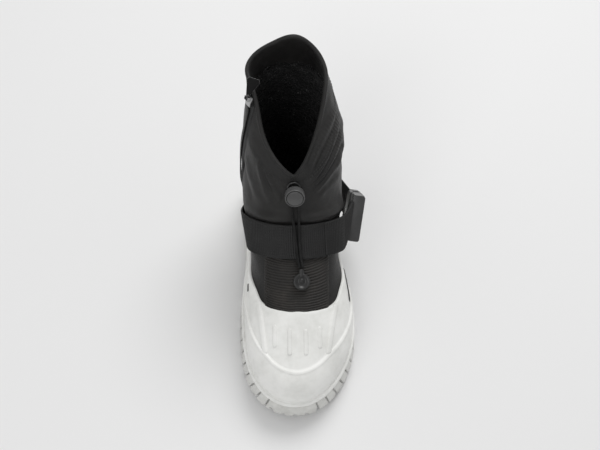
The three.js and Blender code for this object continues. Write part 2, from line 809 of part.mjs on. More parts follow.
// Columns of a webbing that leaves the boot freely and then follows a path of (along, out) round a
// bar: each column holds the middle points across the webbing. The bar's axes are given by
// barPoint(along, across, out).
function loopedColumns(surfaceColumns, barPoint, path) {
  const columns = [...surfaceColumns];
  const last = surfaceColumns[surfaceColumns.length - 1];
  const before = surfaceColumns[surfaceColumns.length - 2];
  const shares = last.map((_, j) => j / (last.length - 1) - 0.5);
  const columnAt = ([along, out]) => shares.map((share) => barPoint(along, share * STRAP_WIDTH, out));
  const pathColumns = path.map(columnAt);
  const start = pathColumns[0];
  const reach = start[2].distanceTo(last[2]);
  const arrive = barPoint(1, 0, 0).sub(barPoint(0, 0, 0)).multiplyScalar(reach * 0.8);
  const free = [0.25, 0.5, 0.75].map((s) => last.map((point, j) => {
    const leave = point.clone().sub(before[j]).setLength(reach);
    return hermite(point, leave, start[j], arrive, s);
  }));
  columns.push(...free, ...pathColumns);
  return columns;
}

// A webbing of the strap's thickness along columns of middle points.
function webbing(columns) {
  const rings = columns.map((column, i) => {
    const before = columns[Math.max(i - 1, 0)];
    const after = columns[Math.min(i + 1, columns.length - 1)];
    const faces = column.map((point, j) => {
      const along = after[j].clone().sub(before[j]);
      const across = column[Math.min(j + 1, column.length - 1)].clone().sub(column[Math.max(j - 1, 0)]);
      return across.cross(along).setLength(STRAP_THICKNESS / 2);
    });
    return [
      ...column.map((point, j) => point.clone().add(faces[j])),
      ...column.map((point, j) => point.clone().sub(faces[j])).reverse(),
    ];
  });
  return patchSolid(rings, columns[0].length);
}

// Strap offset from the upper: over the panel, and standing off where it leaves for the buckle.
const STRAP_COLUMNS = 17;
const STRAP_LEAVES = 58;
const STRAP_STAND = 3;
const strapBase = panelOutside + FIT + STRAP_THICKNESS / 2 + 0.2;

function strapColumns() {
  const columns = [];
  const ends = [];
  for (let j = 0; j < STRAP_ACROSS; j += 1) {
    const measure = strapMeasure(strapCrossing) + (j / (STRAP_ACROSS - 1) - 0.5) * STRAP_WIDTH;
    let low = 40;
    let high = 90;
    for (let i = 0; i < 30; i += 1) {
      const middle = (low + high) / 2;
      const angle = degrees(-middle);
      const gap = levelWhere(angle, strapMeasure, measure) - edgeLevel(SHELL_EDGE, angle);
      if (gap > 0.08) low = middle;
      else high = middle;
    }
    ends.push({ measure, angle: -low });
  }
  for (let i = 0; i < STRAP_COLUMNS; i += 1) {
    const share = i / (STRAP_COLUMNS - 1);
    columns.push(ends.map(({ measure, angle }) => {
      const turn = degrees(lerp(angle, STRAP_LEAVES, share));
      const level = levelWhere(turn, strapMeasure, measure);
      const stand = STRAP_STAND * ease((share - 0.75) / 0.25);
      return surfaceOffset(turn, level, strapBase + stand);
    }));
  }
  return columns;
}

// The strap passes inside the plug's end wall, rises to the bar and turns round it.
const STRAP_RISE = 35;
const wallPass = PLUG_HALF + 0.5 + STRAP_THICKNESS / 2;
const riseStart = (LOOP_RADIUS - wallPass * Math.cos(degrees(STRAP_RISE))) / Math.sin(degrees(STRAP_RISE));
const instepPath = [
  [END_WALL_AT - 1, -wallPass],
  [END_WALL_AT + END_WALL_THICKNESS / 2, -wallPass],
  [riseStart - 0.4, -wallPass + 0.1],
  [riseStart + 1, -wallPass + 0.9],
  ...turnRound(STRAP_RISE, 250, 8),
];

function instepStrap() {
  return webbing(loopedColumns(strapColumns(), bucklePoint, instepPath));
}

// Heel strap: from the socket's end bar to the shell beside the heel.
const SOCKET_START = PLUG_LENGTH + 0.4;
const END_BAR = SOCKET_START + SOCKET_LENGTH - BAR_RADIUS;
const LOOP_ROOM = 6.5;
const HEEL_STRAP_ANGLE = 156;
const HEEL_STRAP_LOW = 0.35;
const HEEL_STRAP_HIGH = 2.25;

function heelStrap() {
  const barPoint = (along, across, out) => bucklePoint(END_BAR - along, across, out);
  const columns = [];
  for (let i = 0; i <= 3; i += 1) {
    const angle = degrees(HEEL_STRAP_ANGLE - 4 * i);
    const column = [];
    for (let j = 0; j < STRAP_ACROSS; j += 1) {
      const level = lerp(HEEL_STRAP_LOW, HEEL_STRAP_HIGH, j / (STRAP_ACROSS - 1));
      column.push(surfaceOffset(angle, level, bumperOutside + FIT + STRAP_THICKNESS / 2 + 0.4));
    }
    columns.push(column);
  }
  const back = [0.5, 1].map((share) => [-share * RETURN_LENGTH, -(LOOP_RADIUS + share * RETURN_SPREAD)]);
  return webbing(loopedColumns(columns, barPoint, [[-1, LOOP_RADIUS], ...turnRound(180, 0, 5), ...back]));
}

function block(width, depth, height, x, y, z) {
  return box(width, depth, height, new THREE.Matrix4().makeTranslation(x, y, z));
}

function cylinder(radius, length, sides, matrix) {
  const geometry = new THREE.CylinderGeometry(radius, radius, length, sides);
  geometry.applyMatrix4(matrix);
  return solidFromGeometry(geometry);
}

// A bar with rounded long edges: a rounded outline across the buckle, extruded along it.
function roundedBar(length, width, height, radius, x) {
  const shape = new THREE.Shape();
  const w = width / 2 - radius;
  const h = height / 2 - radius;
  shape.absarc(w, h, radius, 0, Math.PI / 2);
  shape.absarc(-w, h, radius, Math.PI / 2, Math.PI);
  shape.absarc(-w, -h, radius, Math.PI, 1.5 * Math.PI);
  shape.absarc(w, -h, radius, 1.5 * Math.PI, 2 * Math.PI);
  const geometry = new THREE.ExtrudeGeometry(shape, { depth: length, bevelEnabled: false, curveSegments: 3 });
  const axes = [new THREE.Vector3(0, 1, 0), new THREE.Vector3(0, 0, 1), new THREE.Vector3(1, 0, 0)];
  geometry.applyMatrix4(new THREE.Matrix4().makeBasis(...axes).setPosition(x, 0, 0));
  return solidFromGeometry(geometry);
}

const PRONG_WIDTH = 5;
const PRONG_THICKNESS = 5;
const PRONG_LENGTH = 18;
const FRAME_SIDE = 4.5;

function bucklePlug() {
  const plateStart = LOOP_RADIUS + STRAP_THICKNESS + 2;
  const armY = BUCKLE_WIDTH / 2 - FRAME_SIDE / 2;
  const armStart = END_WALL_AT + 1;
  const armLength = plateStart + 2 - armStart;
  const armMiddle = armStart + armLength / 2;
  let solid = roundedBar(PLUG_LENGTH - plateStart, BUCKLE_WIDTH, 2 * PLUG_HALF, 2.5, plateStart)
    .add(roundedBar(END_WALL_THICKNESS, BUCKLE_WIDTH, 2 * PLUG_HALF, 2.5, END_WALL_AT));
  for (const side of [-1, 1]) {
    solid = solid.add(block(armLength, FRAME_SIDE, BUCKLE_THICKNESS - 4, armMiddle, side * armY, 0));
    const prongY = side * BUCKLE_WIDTH * 0.29;
    const prongX = PLUG_LENGTH + PRONG_LENGTH / 2 - 1;
    solid = solid.add(block(PRONG_LENGTH, PRONG_WIDTH, PRONG_THICKNESS, prongX, prongY, 0));
    const barbY = side * (BUCKLE_WIDTH / 2 - 4.5);
    solid = solid.add(block(7, 7, PRONG_THICKNESS, PLUG_LENGTH + PRONG_LENGTH - 5, barbY, 0));
  }
  const across = new THREE.Matrix4();
  return solid.add(cylinder(BAR_RADIUS, BUCKLE_WIDTH - FRAME_SIDE, 10, across))
    .add(block(PRONG_LENGTH - 5, 3, PRONG_THICKNESS, PLUG_LENGTH + PRONG_LENGTH / 2 - 4, 0, 0));
}

function buckleSocket() {
  const bodyLength = END_BAR - LOOP_ROOM - SOCKET_START;
  let solid = roundedBar(bodyLength, BUCKLE_WIDTH, BUCKLE_THICKNESS, 3, SOCKET_START);
  const cavity = PRONG_LENGTH + 2;
  const room = PRONG_THICKNESS + 1.2;
  solid = solid.subtract(block(cavity, BUCKLE_WIDTH - 8, room, SOCKET_START + cavity / 2 - 1, 0, 0));
  const windowAt = PLUG_LENGTH + PRONG_LENGTH - 5;
  for (const side of [-1, 1]) {
    solid = solid.subtract(block(11, 16, room, windowAt, side * BUCKLE_WIDTH / 2, 0));
    const armY = side * (BUCKLE_WIDTH - FRAME_SIDE) / 2;
    const armX = END_BAR - LOOP_ROOM / 2;
    solid = solid.add(block(LOOP_ROOM + 4, FRAME_SIDE, BUCKLE_THICKNESS - 5, armX, armY, 0));
  }
  const endBar = new THREE.Matrix4().makeTranslation(END_BAR, 0, 0);
  return solid.add(cylinder(BAR_RADIUS, BUCKLE_WIDTH - FRAME_SIDE, 10, endBar));
}

// Zip on the medial side: the line runs up the shaft and leans back towards the collar.
const ZIP_LINE = [
  { at: 4.5, along: 0.69 },
  { at: 7.5, along: 0.705 },
  { at: 9, along: 0.755 },
];
const ZIP_LOW = 4.5;
const ZIP_HIGH = 8.9;
const TAPE_THICKNESS = 0.5;
const tapeOutside = FIT + TAPE_THICKNESS;
const chainInside = tapeOutside + FIT;

function zipPlace(level, across, offset) {
  const ring = ringAt(level);
  const along = tableValue(ZIP_LINE, 'along', level) * SOLE_LENGTH;
  const angle = -Math.acos(1 - 2 * (along - ring.front) / (ring.back - ring.front));
  const step = 0.01;
  const speed = surfacePoint(angle + step, level).distanceTo(surfacePoint(angle - step, level)) / (2 * step);
  return surfaceOffset(angle - across / speed, level, offset);
}

// Level on the zip line that lies a length below another level.
function levelBelow(level, length) {
  let low = ZIP_LOW;
  let high = level;
  const from = zipPlace(level, 0, 0);
  for (let i = 0; i < 30; i += 1) {
    const middle = (low + high) / 2;
    if (zipPlace(middle, 0, 0).distanceTo(from) > length) low = middle;
    else high = middle;
  }
  return (low + high) / 2;
}

function zipStrip(width, low, high, inside, outside, rows) {
  return wallSolid(
    3,
    rows,
    (u, v) => zipPlace(lerp(low, high, v), (u - 0.5) * width, inside),
    (u, v) => zipPlace(lerp(low, high, v), (u - 0.5) * width, outside),
    false,
  );
}

const SLIDER_LEVEL = 8.93;
const CHAIN_HIGH = levelBelow(SLIDER_LEVEL, SLIDER_LENGTH + 2.3);
const zipTape = () => zipStrip(ZIP_TAPE_WIDTH, ZIP_LOW, ZIP_HIGH, -CUT_DEPTH, tapeOutside, 14)
  .subtract(filledForm(FIT));
const zipTeeth = () => zipStrip(ZIP_CHAIN_WIDTH, ZIP_LOW + 0.16, CHAIN_HIGH, chainInside,
  chainInside + ZIP_CHAIN_HEIGHT, 14);
const zipStop = () => zipStrip(ZIP_CHAIN_WIDTH + 1, ZIP_LOW + 0.04, ZIP_LOW + 0.14, chainInside,
  chainInside + ZIP_CHAIN_HEIGHT + 0.4, 3);

// Axes of the slider: across the zip, up along it and outward, from a point on the tape.
const SLIDER_LIFT = 0.25;
const sliderBase = zipPlace(SLIDER_LEVEL, 0, tapeOutside + FIT + SLIDER_LIFT);
const sliderUp = zipPlace(SLIDER_LEVEL, 0, 0).sub(zipPlace(SLIDER_LEVEL - 0.4, 0, 0)).normalize();
const sliderOut = zipPlace(SLIDER_LEVEL, 0, 3).sub(zipPlace(SLIDER_LEVEL, 0, 0)).normalize();
const sliderAcross = sliderUp.clone().cross(sliderOut).normalize();
sliderOut.crossVectors(sliderAcross, sliderUp);
const sliderMatrix = new THREE.Matrix4().makeBasis(sliderAcross, sliderUp, sliderOut).setPosition(sliderBase);
const sliderHeight = ZIP_CHAIN_HEIGHT + 0.8;
const pinHeight = sliderHeight + PULL_THICKNESS / 2 + 1;

function zipSlider() {
  const postX = PULL_WIDTH / 4;
  let solid = block(SLIDER_WIDTH, SLIDER_LENGTH, sliderHeight, 0, -SLIDER_LENGTH / 2, sliderHeight / 2);
  for (const side of [-1, 1]) {
    const height = pinHeight + PIN_RADIUS;
    const place = side * (postX - POST_WIDTH / 2);
    solid = solid.add(block(POST_WIDTH, 2 * PIN_BACK, height, place, -PIN_BACK, height / 2));
  }
  const pin = new THREE.Matrix4().makeRotationZ(Math.PI / 2).setPosition(0, -PIN_BACK, pinHeight);
  return solid.add(cylinder(PIN_RADIUS, 2 * postX, 10, pin));
}

// Pull tab: turned up over the collar and leaning inward, hinged on the slider's pin.
const PULL_LEAN = 12;
const PULL_TWIST = 60;
const pinCentre = new THREE.Vector3(0, -PIN_BACK, pinHeight).applyMatrix4(sliderMatrix);
const pullMatrix = new THREE.Matrix4()
  .makeTranslation(pinCentre)
  .multiply(new THREE.Matrix4().extractRotation(sliderMatrix))
  .multiply(new THREE.Matrix4().makeRotationX(degrees(-PULL_LEAN)));

// The tab's eye turns on the pin, and its blade is twisted about the neck to face the toe.
function zipPull() {
  const eye = 2 * (PULL_WIDTH / 4 - POST_WIDTH - FIT);
  const root = PIN_RADIUS + FIT + 0.6;
  const neckTop = root + 1.5;
  const end = PULL_LENGTH - root;
  const shape = new THREE.Shape();
  shape.moveTo(-eye / 2, neckTop);
  shape.lineTo(eye / 2, neckTop);
  shape.lineTo(PULL_WIDTH / 2, end - 2.5);
  shape.lineTo(PULL_WIDTH / 2 - 1.5, end);
  shape.lineTo(-PULL_WIDTH / 2 + 1.5, end);
  shape.lineTo(-PULL_WIDTH / 2, end - 2.5);
  const blade = new THREE.ExtrudeGeometry(shape, { depth: PULL_THICKNESS, bevelEnabled: false });
  blade.translate(0, 0, -PULL_THICKNESS / 2);
  blade.rotateY(degrees(PULL_TWIST));
  const sleeve = new THREE.Matrix4().makeRotationZ(Math.PI / 2);
  const neck = new THREE.Matrix4().makeTranslation(0, neckTop / 2 + 0.3, 0);
  return solidFromGeometry(blade)
    .add(cylinder(root, eye, 12, sleeve))
    .add(cylinder(PULL_THICKNESS / 2 + 0.3, neckTop + 0.6, 8, neck))
    .subtract(cylinder(PIN_RADIUS + FIT, PULL_WIDTH, 12, sleeve));
}

// Grommet, cord lock and drawcord at the front of the collar
const GROMMET_LEVEL = 7.68;
const LOCK_LEVEL = 7.22;
const LOCK_LIFT = 2.7;
const LOCK_SHIFT = 0.9;

function frontMatrix(level, offset, x = 0) {
  const out = surfaceNormal(0, level).setX(0).normalize();
  const side = new THREE.Vector3(1, 0, 0);
  const up = out.clone().cross(side);
  const place = surfacePoint(0, level).addScaledVector(out, offset);
  place.x += x;
  return new THREE.Matrix4().makeBasis(side, up, out).setPosition(place);
}

function lathe(profile, sides) {
  const geometry = new THREE.LatheGeometry(profile.map(([r, z]) => new THREE.Vector2(r, z)), sides);
  geometry.rotateX(Math.PI / 2);
  return solidFromGeometry(geometry);
}

function grommet() {
  const inner = GROMMET_BORE;
  const outer = GROMMET_RADIUS;
  const crown = [(inner + outer) / 2, 1.5];
  return lathe([[inner, 0.2], [outer, 0.2], [outer - 0.6, 1.1], crown, [inner, 1], [inner, 0.2]], 16);
}

const LOCK_FLOOR = 4.2;
const buttonSeat = LOCK_FLOOR + BUTTON_TRAVEL + FIT;
const CORD_SPREAD = 2.8;

function cordHoles(solid) {
  let cut = solid;
  for (const side of [-1, 1]) {
    const hole = new THREE.Matrix4().makeTranslation(side * CORD_SPREAD, 0, LOCK_FLOOR / 2);
    cut = cut.subtract(cylinder(CORD_RADIUS + FIT, 3 * LOCK_RADIUS, 8, hole));
  }
  return cut;
}

function cordLockBody() {
  const bore = BUTTON_RADIUS + FIT;
  const profile = [
    [0, 0], [LOCK_RADIUS - 1.2, 0], [LOCK_RADIUS, 1.2], [LOCK_RADIUS, LOCK_DEPTH - 0.8],
    [LOCK_RADIUS - 0.5, LOCK_DEPTH], [bore, LOCK_DEPTH], [bore, LOCK_FLOOR], [0, LOCK_FLOOR], [0, 0],
  ];
  return cordHoles(lathe(profile, 20));
}

function cordLockButton() {
  const top = LOCK_DEPTH + 0.4;
  const profile = [
    [0, buttonSeat], [BUTTON_RADIUS, buttonSeat], [BUTTON_RADIUS, top - 0.5],
    [BUTTON_RADIUS - 0.6, top], [0, top + 0.5], [0, buttonSeat],
  ];
  return lathe(profile, 20);
}

// Drawcord: the two strands from inside the lock down over the strap to the cord end.
// Each point is lateral place, length back from the toe tip and height.
const MEDIAL_STRAND = [
  [-1.9, 145, 160], [-1.9, 139.5, 146.2], [-1.3, 136.9, 140.5], [-0.4, 133, 134.6], [0.6, 128.7, 129.1],
  [1.8, 123.9, 123.4], [2.8, 118.4, 117.4], [3.7, 112.3, 111.4], [4.6, 107.1, 106.5], [6.3, 101.9, 101.1],
];
const LATERAL_STRAND = [
  [3.7, 145, 160], [3.7, 139.5, 146.2], [4.2, 136.9, 140.5], [4.8, 133, 134.6], [5.2, 128.7, 129.1],
  [5.5, 123.9, 123.4], [5.8, 118.4, 117.4], [6.5, 112.3, 111.4], [7.4, 107.1, 106.5], [9.1, 101.9, 101.1],
];
const CORD_STEPS = 18;

function strand(points) {
  const path = new THREE.CatmullRomCurve3(points.map(([x, y, z]) => new THREE.Vector3(x, y - TOE_REACH, z)));
  const section = new THREE.Shape();
  for (let i = 0; i <= 8; i += 1) {
    const turn = 2 * Math.PI * i / 8;
    const corner = [CORD_RADIUS * Math.cos(turn), CORD_RADIUS * Math.sin(turn)];
    if (i === 0) section.moveTo(...corner);
    else section.lineTo(...corner);
  }
  return solidFromGeometry(new THREE.ExtrudeGeometry(section, { steps: CORD_STEPS, extrudePath: path }));
}

// Cord end: a flat round disc with a neck, lying on the vamp panel.
const CORD_END_THICKNESS = 4.4;
const CORD_END_NECK = 11.2;
const CORD_END_AT = { x: 7.7, along: 93.6 };
const CORD_END_LIFT = 0.4;

function cordEndMatrix() {
  const { angle, level } = vampPlace(CORD_END_AT.x, CORD_END_AT.along - TOE_REACH);
  const out = surfaceNormal(angle, level);
  const base = surfaceOffset(angle, level, panelOutside + FIT + CORD_END_LIFT + CORD_END_THICKNESS / 2);
  const end = MEDIAL_STRAND[9];
  const other = LATERAL_STRAND[9];
  const target = new THREE.Vector3((end[0] + other[0]) / 2, end[1] - TOE_REACH, end[2]);
  const up = target.sub(base).normalize();
  const side = up.clone().cross(out).normalize();
  out.crossVectors(side, up);
  return new THREE.Matrix4().makeBasis(side, up, out).setPosition(base);
}

function cordEnd() {
  const half = CORD_END_THICKNESS / 2;
  const edge = 1.2;
  const disc = lathe([
    [0, -half], [CORD_END_RADIUS - edge, -half], [CORD_END_RADIUS, -half + edge],
    [CORD_END_RADIUS, half - edge], [CORD_END_RADIUS - edge, half], [0, half], [0, -half],
  ], 16);
  const neck = new THREE.Matrix4().makeTranslation(0, CORD_END_NECK / 2, 0);
  return disc.add(cylinder(CORD_END_THICKNESS / 2, CORD_END_NECK, 10, neck));
}

// Plain dark insets on the sides of the shell, each between two lengths from the toe tip and two levels.
const INSETS = [
  { name: 'inset_lateral', side: 1, from: 0.33, to: 0.43, low: 2.15, high: 2.85, width: 0.2 },
  { name: 'inset_medial', side: -1, from: 0.36, to: 0.382, low: 2.5, high: 2.66, width: 0.14 },
];

function inset(row) {
  const place = (u, v, offset) => {
    const level = lerp(row.low, row.high, u) + (v - 0.5) * row.width;
    const ring = ringAt(level);
    const along = lerp(row.from, row.to, u) * SOLE_LENGTH;
    const angle = row.side * Math.acos(1 - 2 * (along - ring.front) / (ring.back - ring.front));
    return surfaceOffset(angle, level, offset);
  };
  const near = shellOutside + FIT + 0.15;
  return wallSolid(
    6,
    3,
    (u, v) => place(u, v, near),
    (u, v) => place(u, v, near + INSET_THICKNESS),
    false,
  );
}

function addMesh(name, solid, look, parent = group) {
  const mesh = new THREE.Mesh(geometryFromSolid(solid), new THREE.MeshStandardMaterial(look));
  mesh.name = name;
  parent.add(mesh);
  return mesh;
}

function turnedGroup(matrix) {
  const turned = new THREE.Group();
  matrix.decompose(turned.position, turned.quaternion, turned.scale);
  group.add(turned);
  return turned;
}

const group = new THREE.Group();
const rubberWhite = { color: 0xe1e2de, roughness: 0.6, metalness: 0 };
const clothBlack = { color: 0x1c1c1c, roughness: 0.9, metalness: 0 };
const webbingBlack = { color: 0x202020, roughness: 0.85, metalness: 0 };
const plasticBlack = { color: 0x2a2b2c, roughness: 0.45, metalness: 0 };
const plasticGrey = { color: 0x6b6c6c, roughness: 0.5, metalness: 0 };
const metalSilver = { color: 0xb9bbbd, roughness: 0.3, metalness: 1 };
const metalDark = { color: 0x303234, roughness: 0.35, metalness: 1 };

addMesh('outsole', outsole(), rubberWhite);
addMesh('insole', insole(), clothBlack);
addMesh('upper', upper(), clothBlack);
addMesh('rubber_shell', shell(), rubberWhite);
addMesh('vamp_panel', vampPanel(), clothBlack);
addMesh('instep_strap', instepStrap(), webbingBlack);
addMesh('heel_strap', heelStrap(), webbingBlack);

const buckle = turnedGroup(buckleMatrix);
addMesh('buckle_plug', bucklePlug(), plasticBlack, buckle);
addMesh('buckle_socket', buckleSocket(), plasticBlack, buckle);

addMesh('zip_tape', zipTape(), clothBlack);
addMesh('zip_teeth', zipTeeth(), metalSilver);
addMesh('zip_stop', zipStop(), metalSilver);
addMesh('zip_slider', zipSlider(), metalSilver, turnedGroup(sliderMatrix));
addMesh('zip_pull', zipPull(), plasticBlack, turnedGroup(pullMatrix));

addMesh('grommet', grommet(), metalDark, turnedGroup(frontMatrix(GROMMET_LEVEL, FIT)));
const lock = turnedGroup(frontMatrix(LOCK_LEVEL, LOCK_LIFT, LOCK_SHIFT));
addMesh('cord_lock_body', cordLockBody(), plasticGrey, lock);
addMesh('cord_lock_button', cordLockButton(), plasticGrey, lock);
addMesh('drawcord_medial', strand(MEDIAL_STRAND), webbingBlack);
addMesh('drawcord_lateral', strand(LATERAL_STRAND), webbingBlack);
addMesh('cord_end', cordEnd(), plasticGrey, turnedGroup(cordEndMatrix()));
for (const row of INSETS) addMesh(row.name, inset(row), plasticBlack);

export default group;
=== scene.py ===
# %% [markdown]
# # A snow boot for the left foot
# The boot has a white rubber foot, a black cloth shaft lined with fleece, a ribbed panel and a
# webbing strap over the instep, a buckle on the outer side, a zip on the inner side and a cord with
# a lock at the front of the collar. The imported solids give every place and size. This notebook puts
# the real surfaces over them: cloth with folds, ribs, webbing, teeth, stitches and moulded rubber.

# %% Load the solids
import math

import bmesh
import bpy
import numpy as np
from mathutils import Matrix, Vector, noise


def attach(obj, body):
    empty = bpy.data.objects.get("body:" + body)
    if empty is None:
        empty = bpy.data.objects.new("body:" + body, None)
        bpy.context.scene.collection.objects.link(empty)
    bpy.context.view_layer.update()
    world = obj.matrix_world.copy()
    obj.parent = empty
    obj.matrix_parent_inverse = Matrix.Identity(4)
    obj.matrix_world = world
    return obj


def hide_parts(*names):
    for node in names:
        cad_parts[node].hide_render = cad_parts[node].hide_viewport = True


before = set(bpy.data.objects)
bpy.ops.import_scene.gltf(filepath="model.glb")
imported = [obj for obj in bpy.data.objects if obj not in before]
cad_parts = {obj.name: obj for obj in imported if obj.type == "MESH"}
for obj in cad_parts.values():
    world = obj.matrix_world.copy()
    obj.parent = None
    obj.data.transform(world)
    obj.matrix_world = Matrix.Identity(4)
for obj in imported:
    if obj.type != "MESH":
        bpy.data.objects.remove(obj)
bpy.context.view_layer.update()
scene = bpy.context.scene

# %% [markdown]
# ## Camera
# The photograph was taken from high in front of the toes. Its height and distance were worked out
# from the photograph, for a sole 284 mm long, so the camera stands at that place. It is only turned
# a few degrees sideways, so that the boot is in the middle of the picture and is seen from the same
# side as in the photograph. The long lens keeps the photograph's perspective.

# %% Camera
CAMERA_PLACE = Vector((-0.055, -0.7853, 1.0859))
CAMERA_TILT = math.radians(55)
CAMERA_TURN = math.radians(3.0)
CAMERA_SENSOR, CAMERA_LENS = 36, 78.84
camera_data = bpy.data.cameras.new("camera")
camera_data.sensor_width = CAMERA_SENSOR
camera_data.lens = CAMERA_LENS
camera = bpy.data.objects.new("camera", camera_data)
scene.collection.objects.link(camera)
scene.camera = camera
level_right = Vector((1, 0, 0))
level_forward = Vector((0, math.cos(CAMERA_TILT), -math.sin(CAMERA_TILT)))
camera_up = Vector((0, math.sin(CAMERA_TILT), math.cos(CAMERA_TILT)))
camera_forward = level_forward * math.cos(CAMERA_TURN) + level_right * math.sin(CAMERA_TURN)
camera_right = level_right * math.cos(CAMERA_TURN) - level_forward * math.sin(CAMERA_TURN)
camera_axes = Matrix((camera_right, camera_up, -camera_forward)).transposed().to_4x4()
camera.matrix_world = Matrix.Translation(CAMERA_PLACE) @ camera_axes
print("camera stands", round(CAMERA_PLACE.length, 2), "m from the heel")

# %% [markdown]
# ## The last: one surface for the whole upper
# A shoe is built over a last, and every piece of the upper is laid on it. So the boot's surface is
# written once, as a function of an angle round the boot and a level from the feather line, where the
# upper meets the sole, to the collar. Cloth, rubber, ribs and tape are then flat grids laid on that
# surface. That keeps them parallel, which separate hand-shaped meshes would not. Sizes are in
# millimetres here and become metres when a mesh is written.

# %% Sizes of the boot
MM = 0.001
SOLE_LENGTH = 284.0
TOE_REACH = 244.0
SOLE_WIDTH = 108.0
SOLE_FLARE = 8.5
BALL_HALF = SOLE_WIDTH / 2 - SOLE_FLARE
WAIST_HALF = 44.0 - SOLE_FLARE
HEEL_HALF = 43.0 - SOLE_FLARE
SOLE_TOP_TOE = 27.0
SOLE_TOP_HEEL = 34.0
VAMP_RISE = 50.0
COLLAR_FRONT = 170.0
COLLAR_BACK = 232.0
SHAFT_HALF = 45.0
COLLAR_LEVEL = 9

# Foot rings: front, rise, back, heel rise, width, fullness at the waist, nose, tail, swing
FOOT_RINGS = [
    (0.031, 0.00, 0.977, 0.00, 1.00, 1.00, 0.30, 0.15, 1.00),
    (0.034, 0.22, 0.981, 0.30, 1.02, 1.00, 0.30, 0.16, 1.00),
    (0.066, 0.44, 0.981, 0.62, 0.99, 1.01, 0.33, 0.18, 0.95),
    (0.146, 0.70, 0.978, 0.92, 0.95, 1.12, 0.37, 0.22, 0.85),
    (0.252, 1.00, 0.974, 1.20, 0.93, 1.22, 0.41, 0.28, 0.65),
]
# Shaft rings: front, height, back, heel height, lateral, medial, heel, nose, tail, round, swing
SHAFT_RINGS = [
    (0.382, 0.597, 0.965, 0.49, 1.03, 1.00, 0.93, 0.46, 0.34, 2.1, 0.25),
    (0.467, 0.742, 0.954, 0.60, 1.04, 1.00, 0.98, 0.50, 0.40, 2.1, 0.00),
    (0.513, 0.876, 0.944, 0.73, 1.00, 0.99, 1.00, 0.50, 0.42, 2.0, 0.00),
    (0.529, 0.953, 0.933, 0.88, 0.83, 0.98, 1.00, 0.55, 0.40, 1.9, 0.00),
    (0.535, 1.000, 0.922, 1.00, 0.64, 0.94, 1.06, 0.70, 0.28, 1.6, 0.00),
]
FOOT_ROUND = 2.1
HEEL_ROUND = 2.2
ring_table = np.array([
    [front * SOLE_LENGTH, SOLE_TOP_TOE + rise * VAMP_RISE,
     back * SOLE_LENGTH, SOLE_TOP_HEEL + heel_rise * VAMP_RISE,
     width * BALL_HALF, width * full * WAIST_HALF, width * HEEL_HALF,
     nose, tail, FOOT_ROUND, swing, 1.0, 1.0]
    for front, rise, back, heel_rise, width, full, nose, tail, swing in FOOT_RINGS
] + [
    [front * SOLE_LENGTH, height * COLLAR_FRONT,
     back * SOLE_LENGTH, heel_height * COLLAR_BACK,
     SHAFT_HALF, SHAFT_HALF, SHAFT_HALF * heel,
     nose, tail, roundness, swing, lateral, medial]
    for (front, height, back, heel_height, lateral, medial, heel,
         nose, tail, roundness, swing) in SHAFT_RINGS
])
print("rings of the last:", len(ring_table))


# %% Surface of the boot
def ease(share):
    share = np.clip(share, 0, 1)
    return share * share * (3 - 2 * share)


def eased_between(at, places, values):
    """Value at a place, with eased steps between rows; values may be arrays."""
    result = values[0] + 0 * at
    for i in range(len(places) - 1):
        share = ease((at - places[i]) / (places[i + 1] - places[i]))
        result = np.where(at > places[i], values[i] + (values[i + 1] - values[i]) * share, result)
    return result


def cubic(start, end, slope_in, slope_out, s):
    """Smooth way from start to end, with a slope at each, at s from 0 to 1."""
    a = 2 * start - 2 * end + slope_in + slope_out
    b = -3 * start + 3 * end - 2 * slope_in - slope_out
    return ((a * s + b) * s + slope_in) * s + start


def ring_at(level):
    k = np.clip(np.floor(level).astype(int), 0, len(ring_table) - 2)
    start, end = ring_table[k], ring_table[k + 1]
    slope_in = (end - ring_table[np.maximum(k - 1, 0)]) / 2
    slope_out = (ring_table[np.minimum(k + 2, len(ring_table) - 1)] - start) / 2
    return cubic(start, end, slope_in, slope_out, (level - k)[..., None])


def matched(first, second):
    return np.broadcast_arrays(np.asarray(first, float), np.asarray(second, float))


def halved(low, high, too_low, steps):
    """Narrows a range by halves towards the place where too_low turns false."""
    for _ in range(steps):
        middle = (low + high) / 2
        below = too_low(middle)
        low, high = np.where(below, middle, low), np.where(below, high, middle)
    return low, high


def hump(at, middle, spread, power=2):
    """1 at a middle, falling to 0 past a spread."""
    return np.exp(-((at - middle) / spread) ** power)


def rounded_end(share, roundness):
    return (1 - (1 - np.clip(share, 0, 1)) ** roundness) ** (1 / roundness)


WIDTH_PLACES = [0.33 * SOLE_LENGTH, 0.6 * SOLE_LENGTH, 0.85 * SOLE_LENGTH]
SWING_PLACES = [0, 0.3, 0.6, 1]
SWING_SHIFTS = [0.025, 0.072, 0.028, 0]
ZIP_DENT = dict(angle=math.radians(-95), level=9.0, reach=math.radians(25), levels=1.3, depth=5.85)


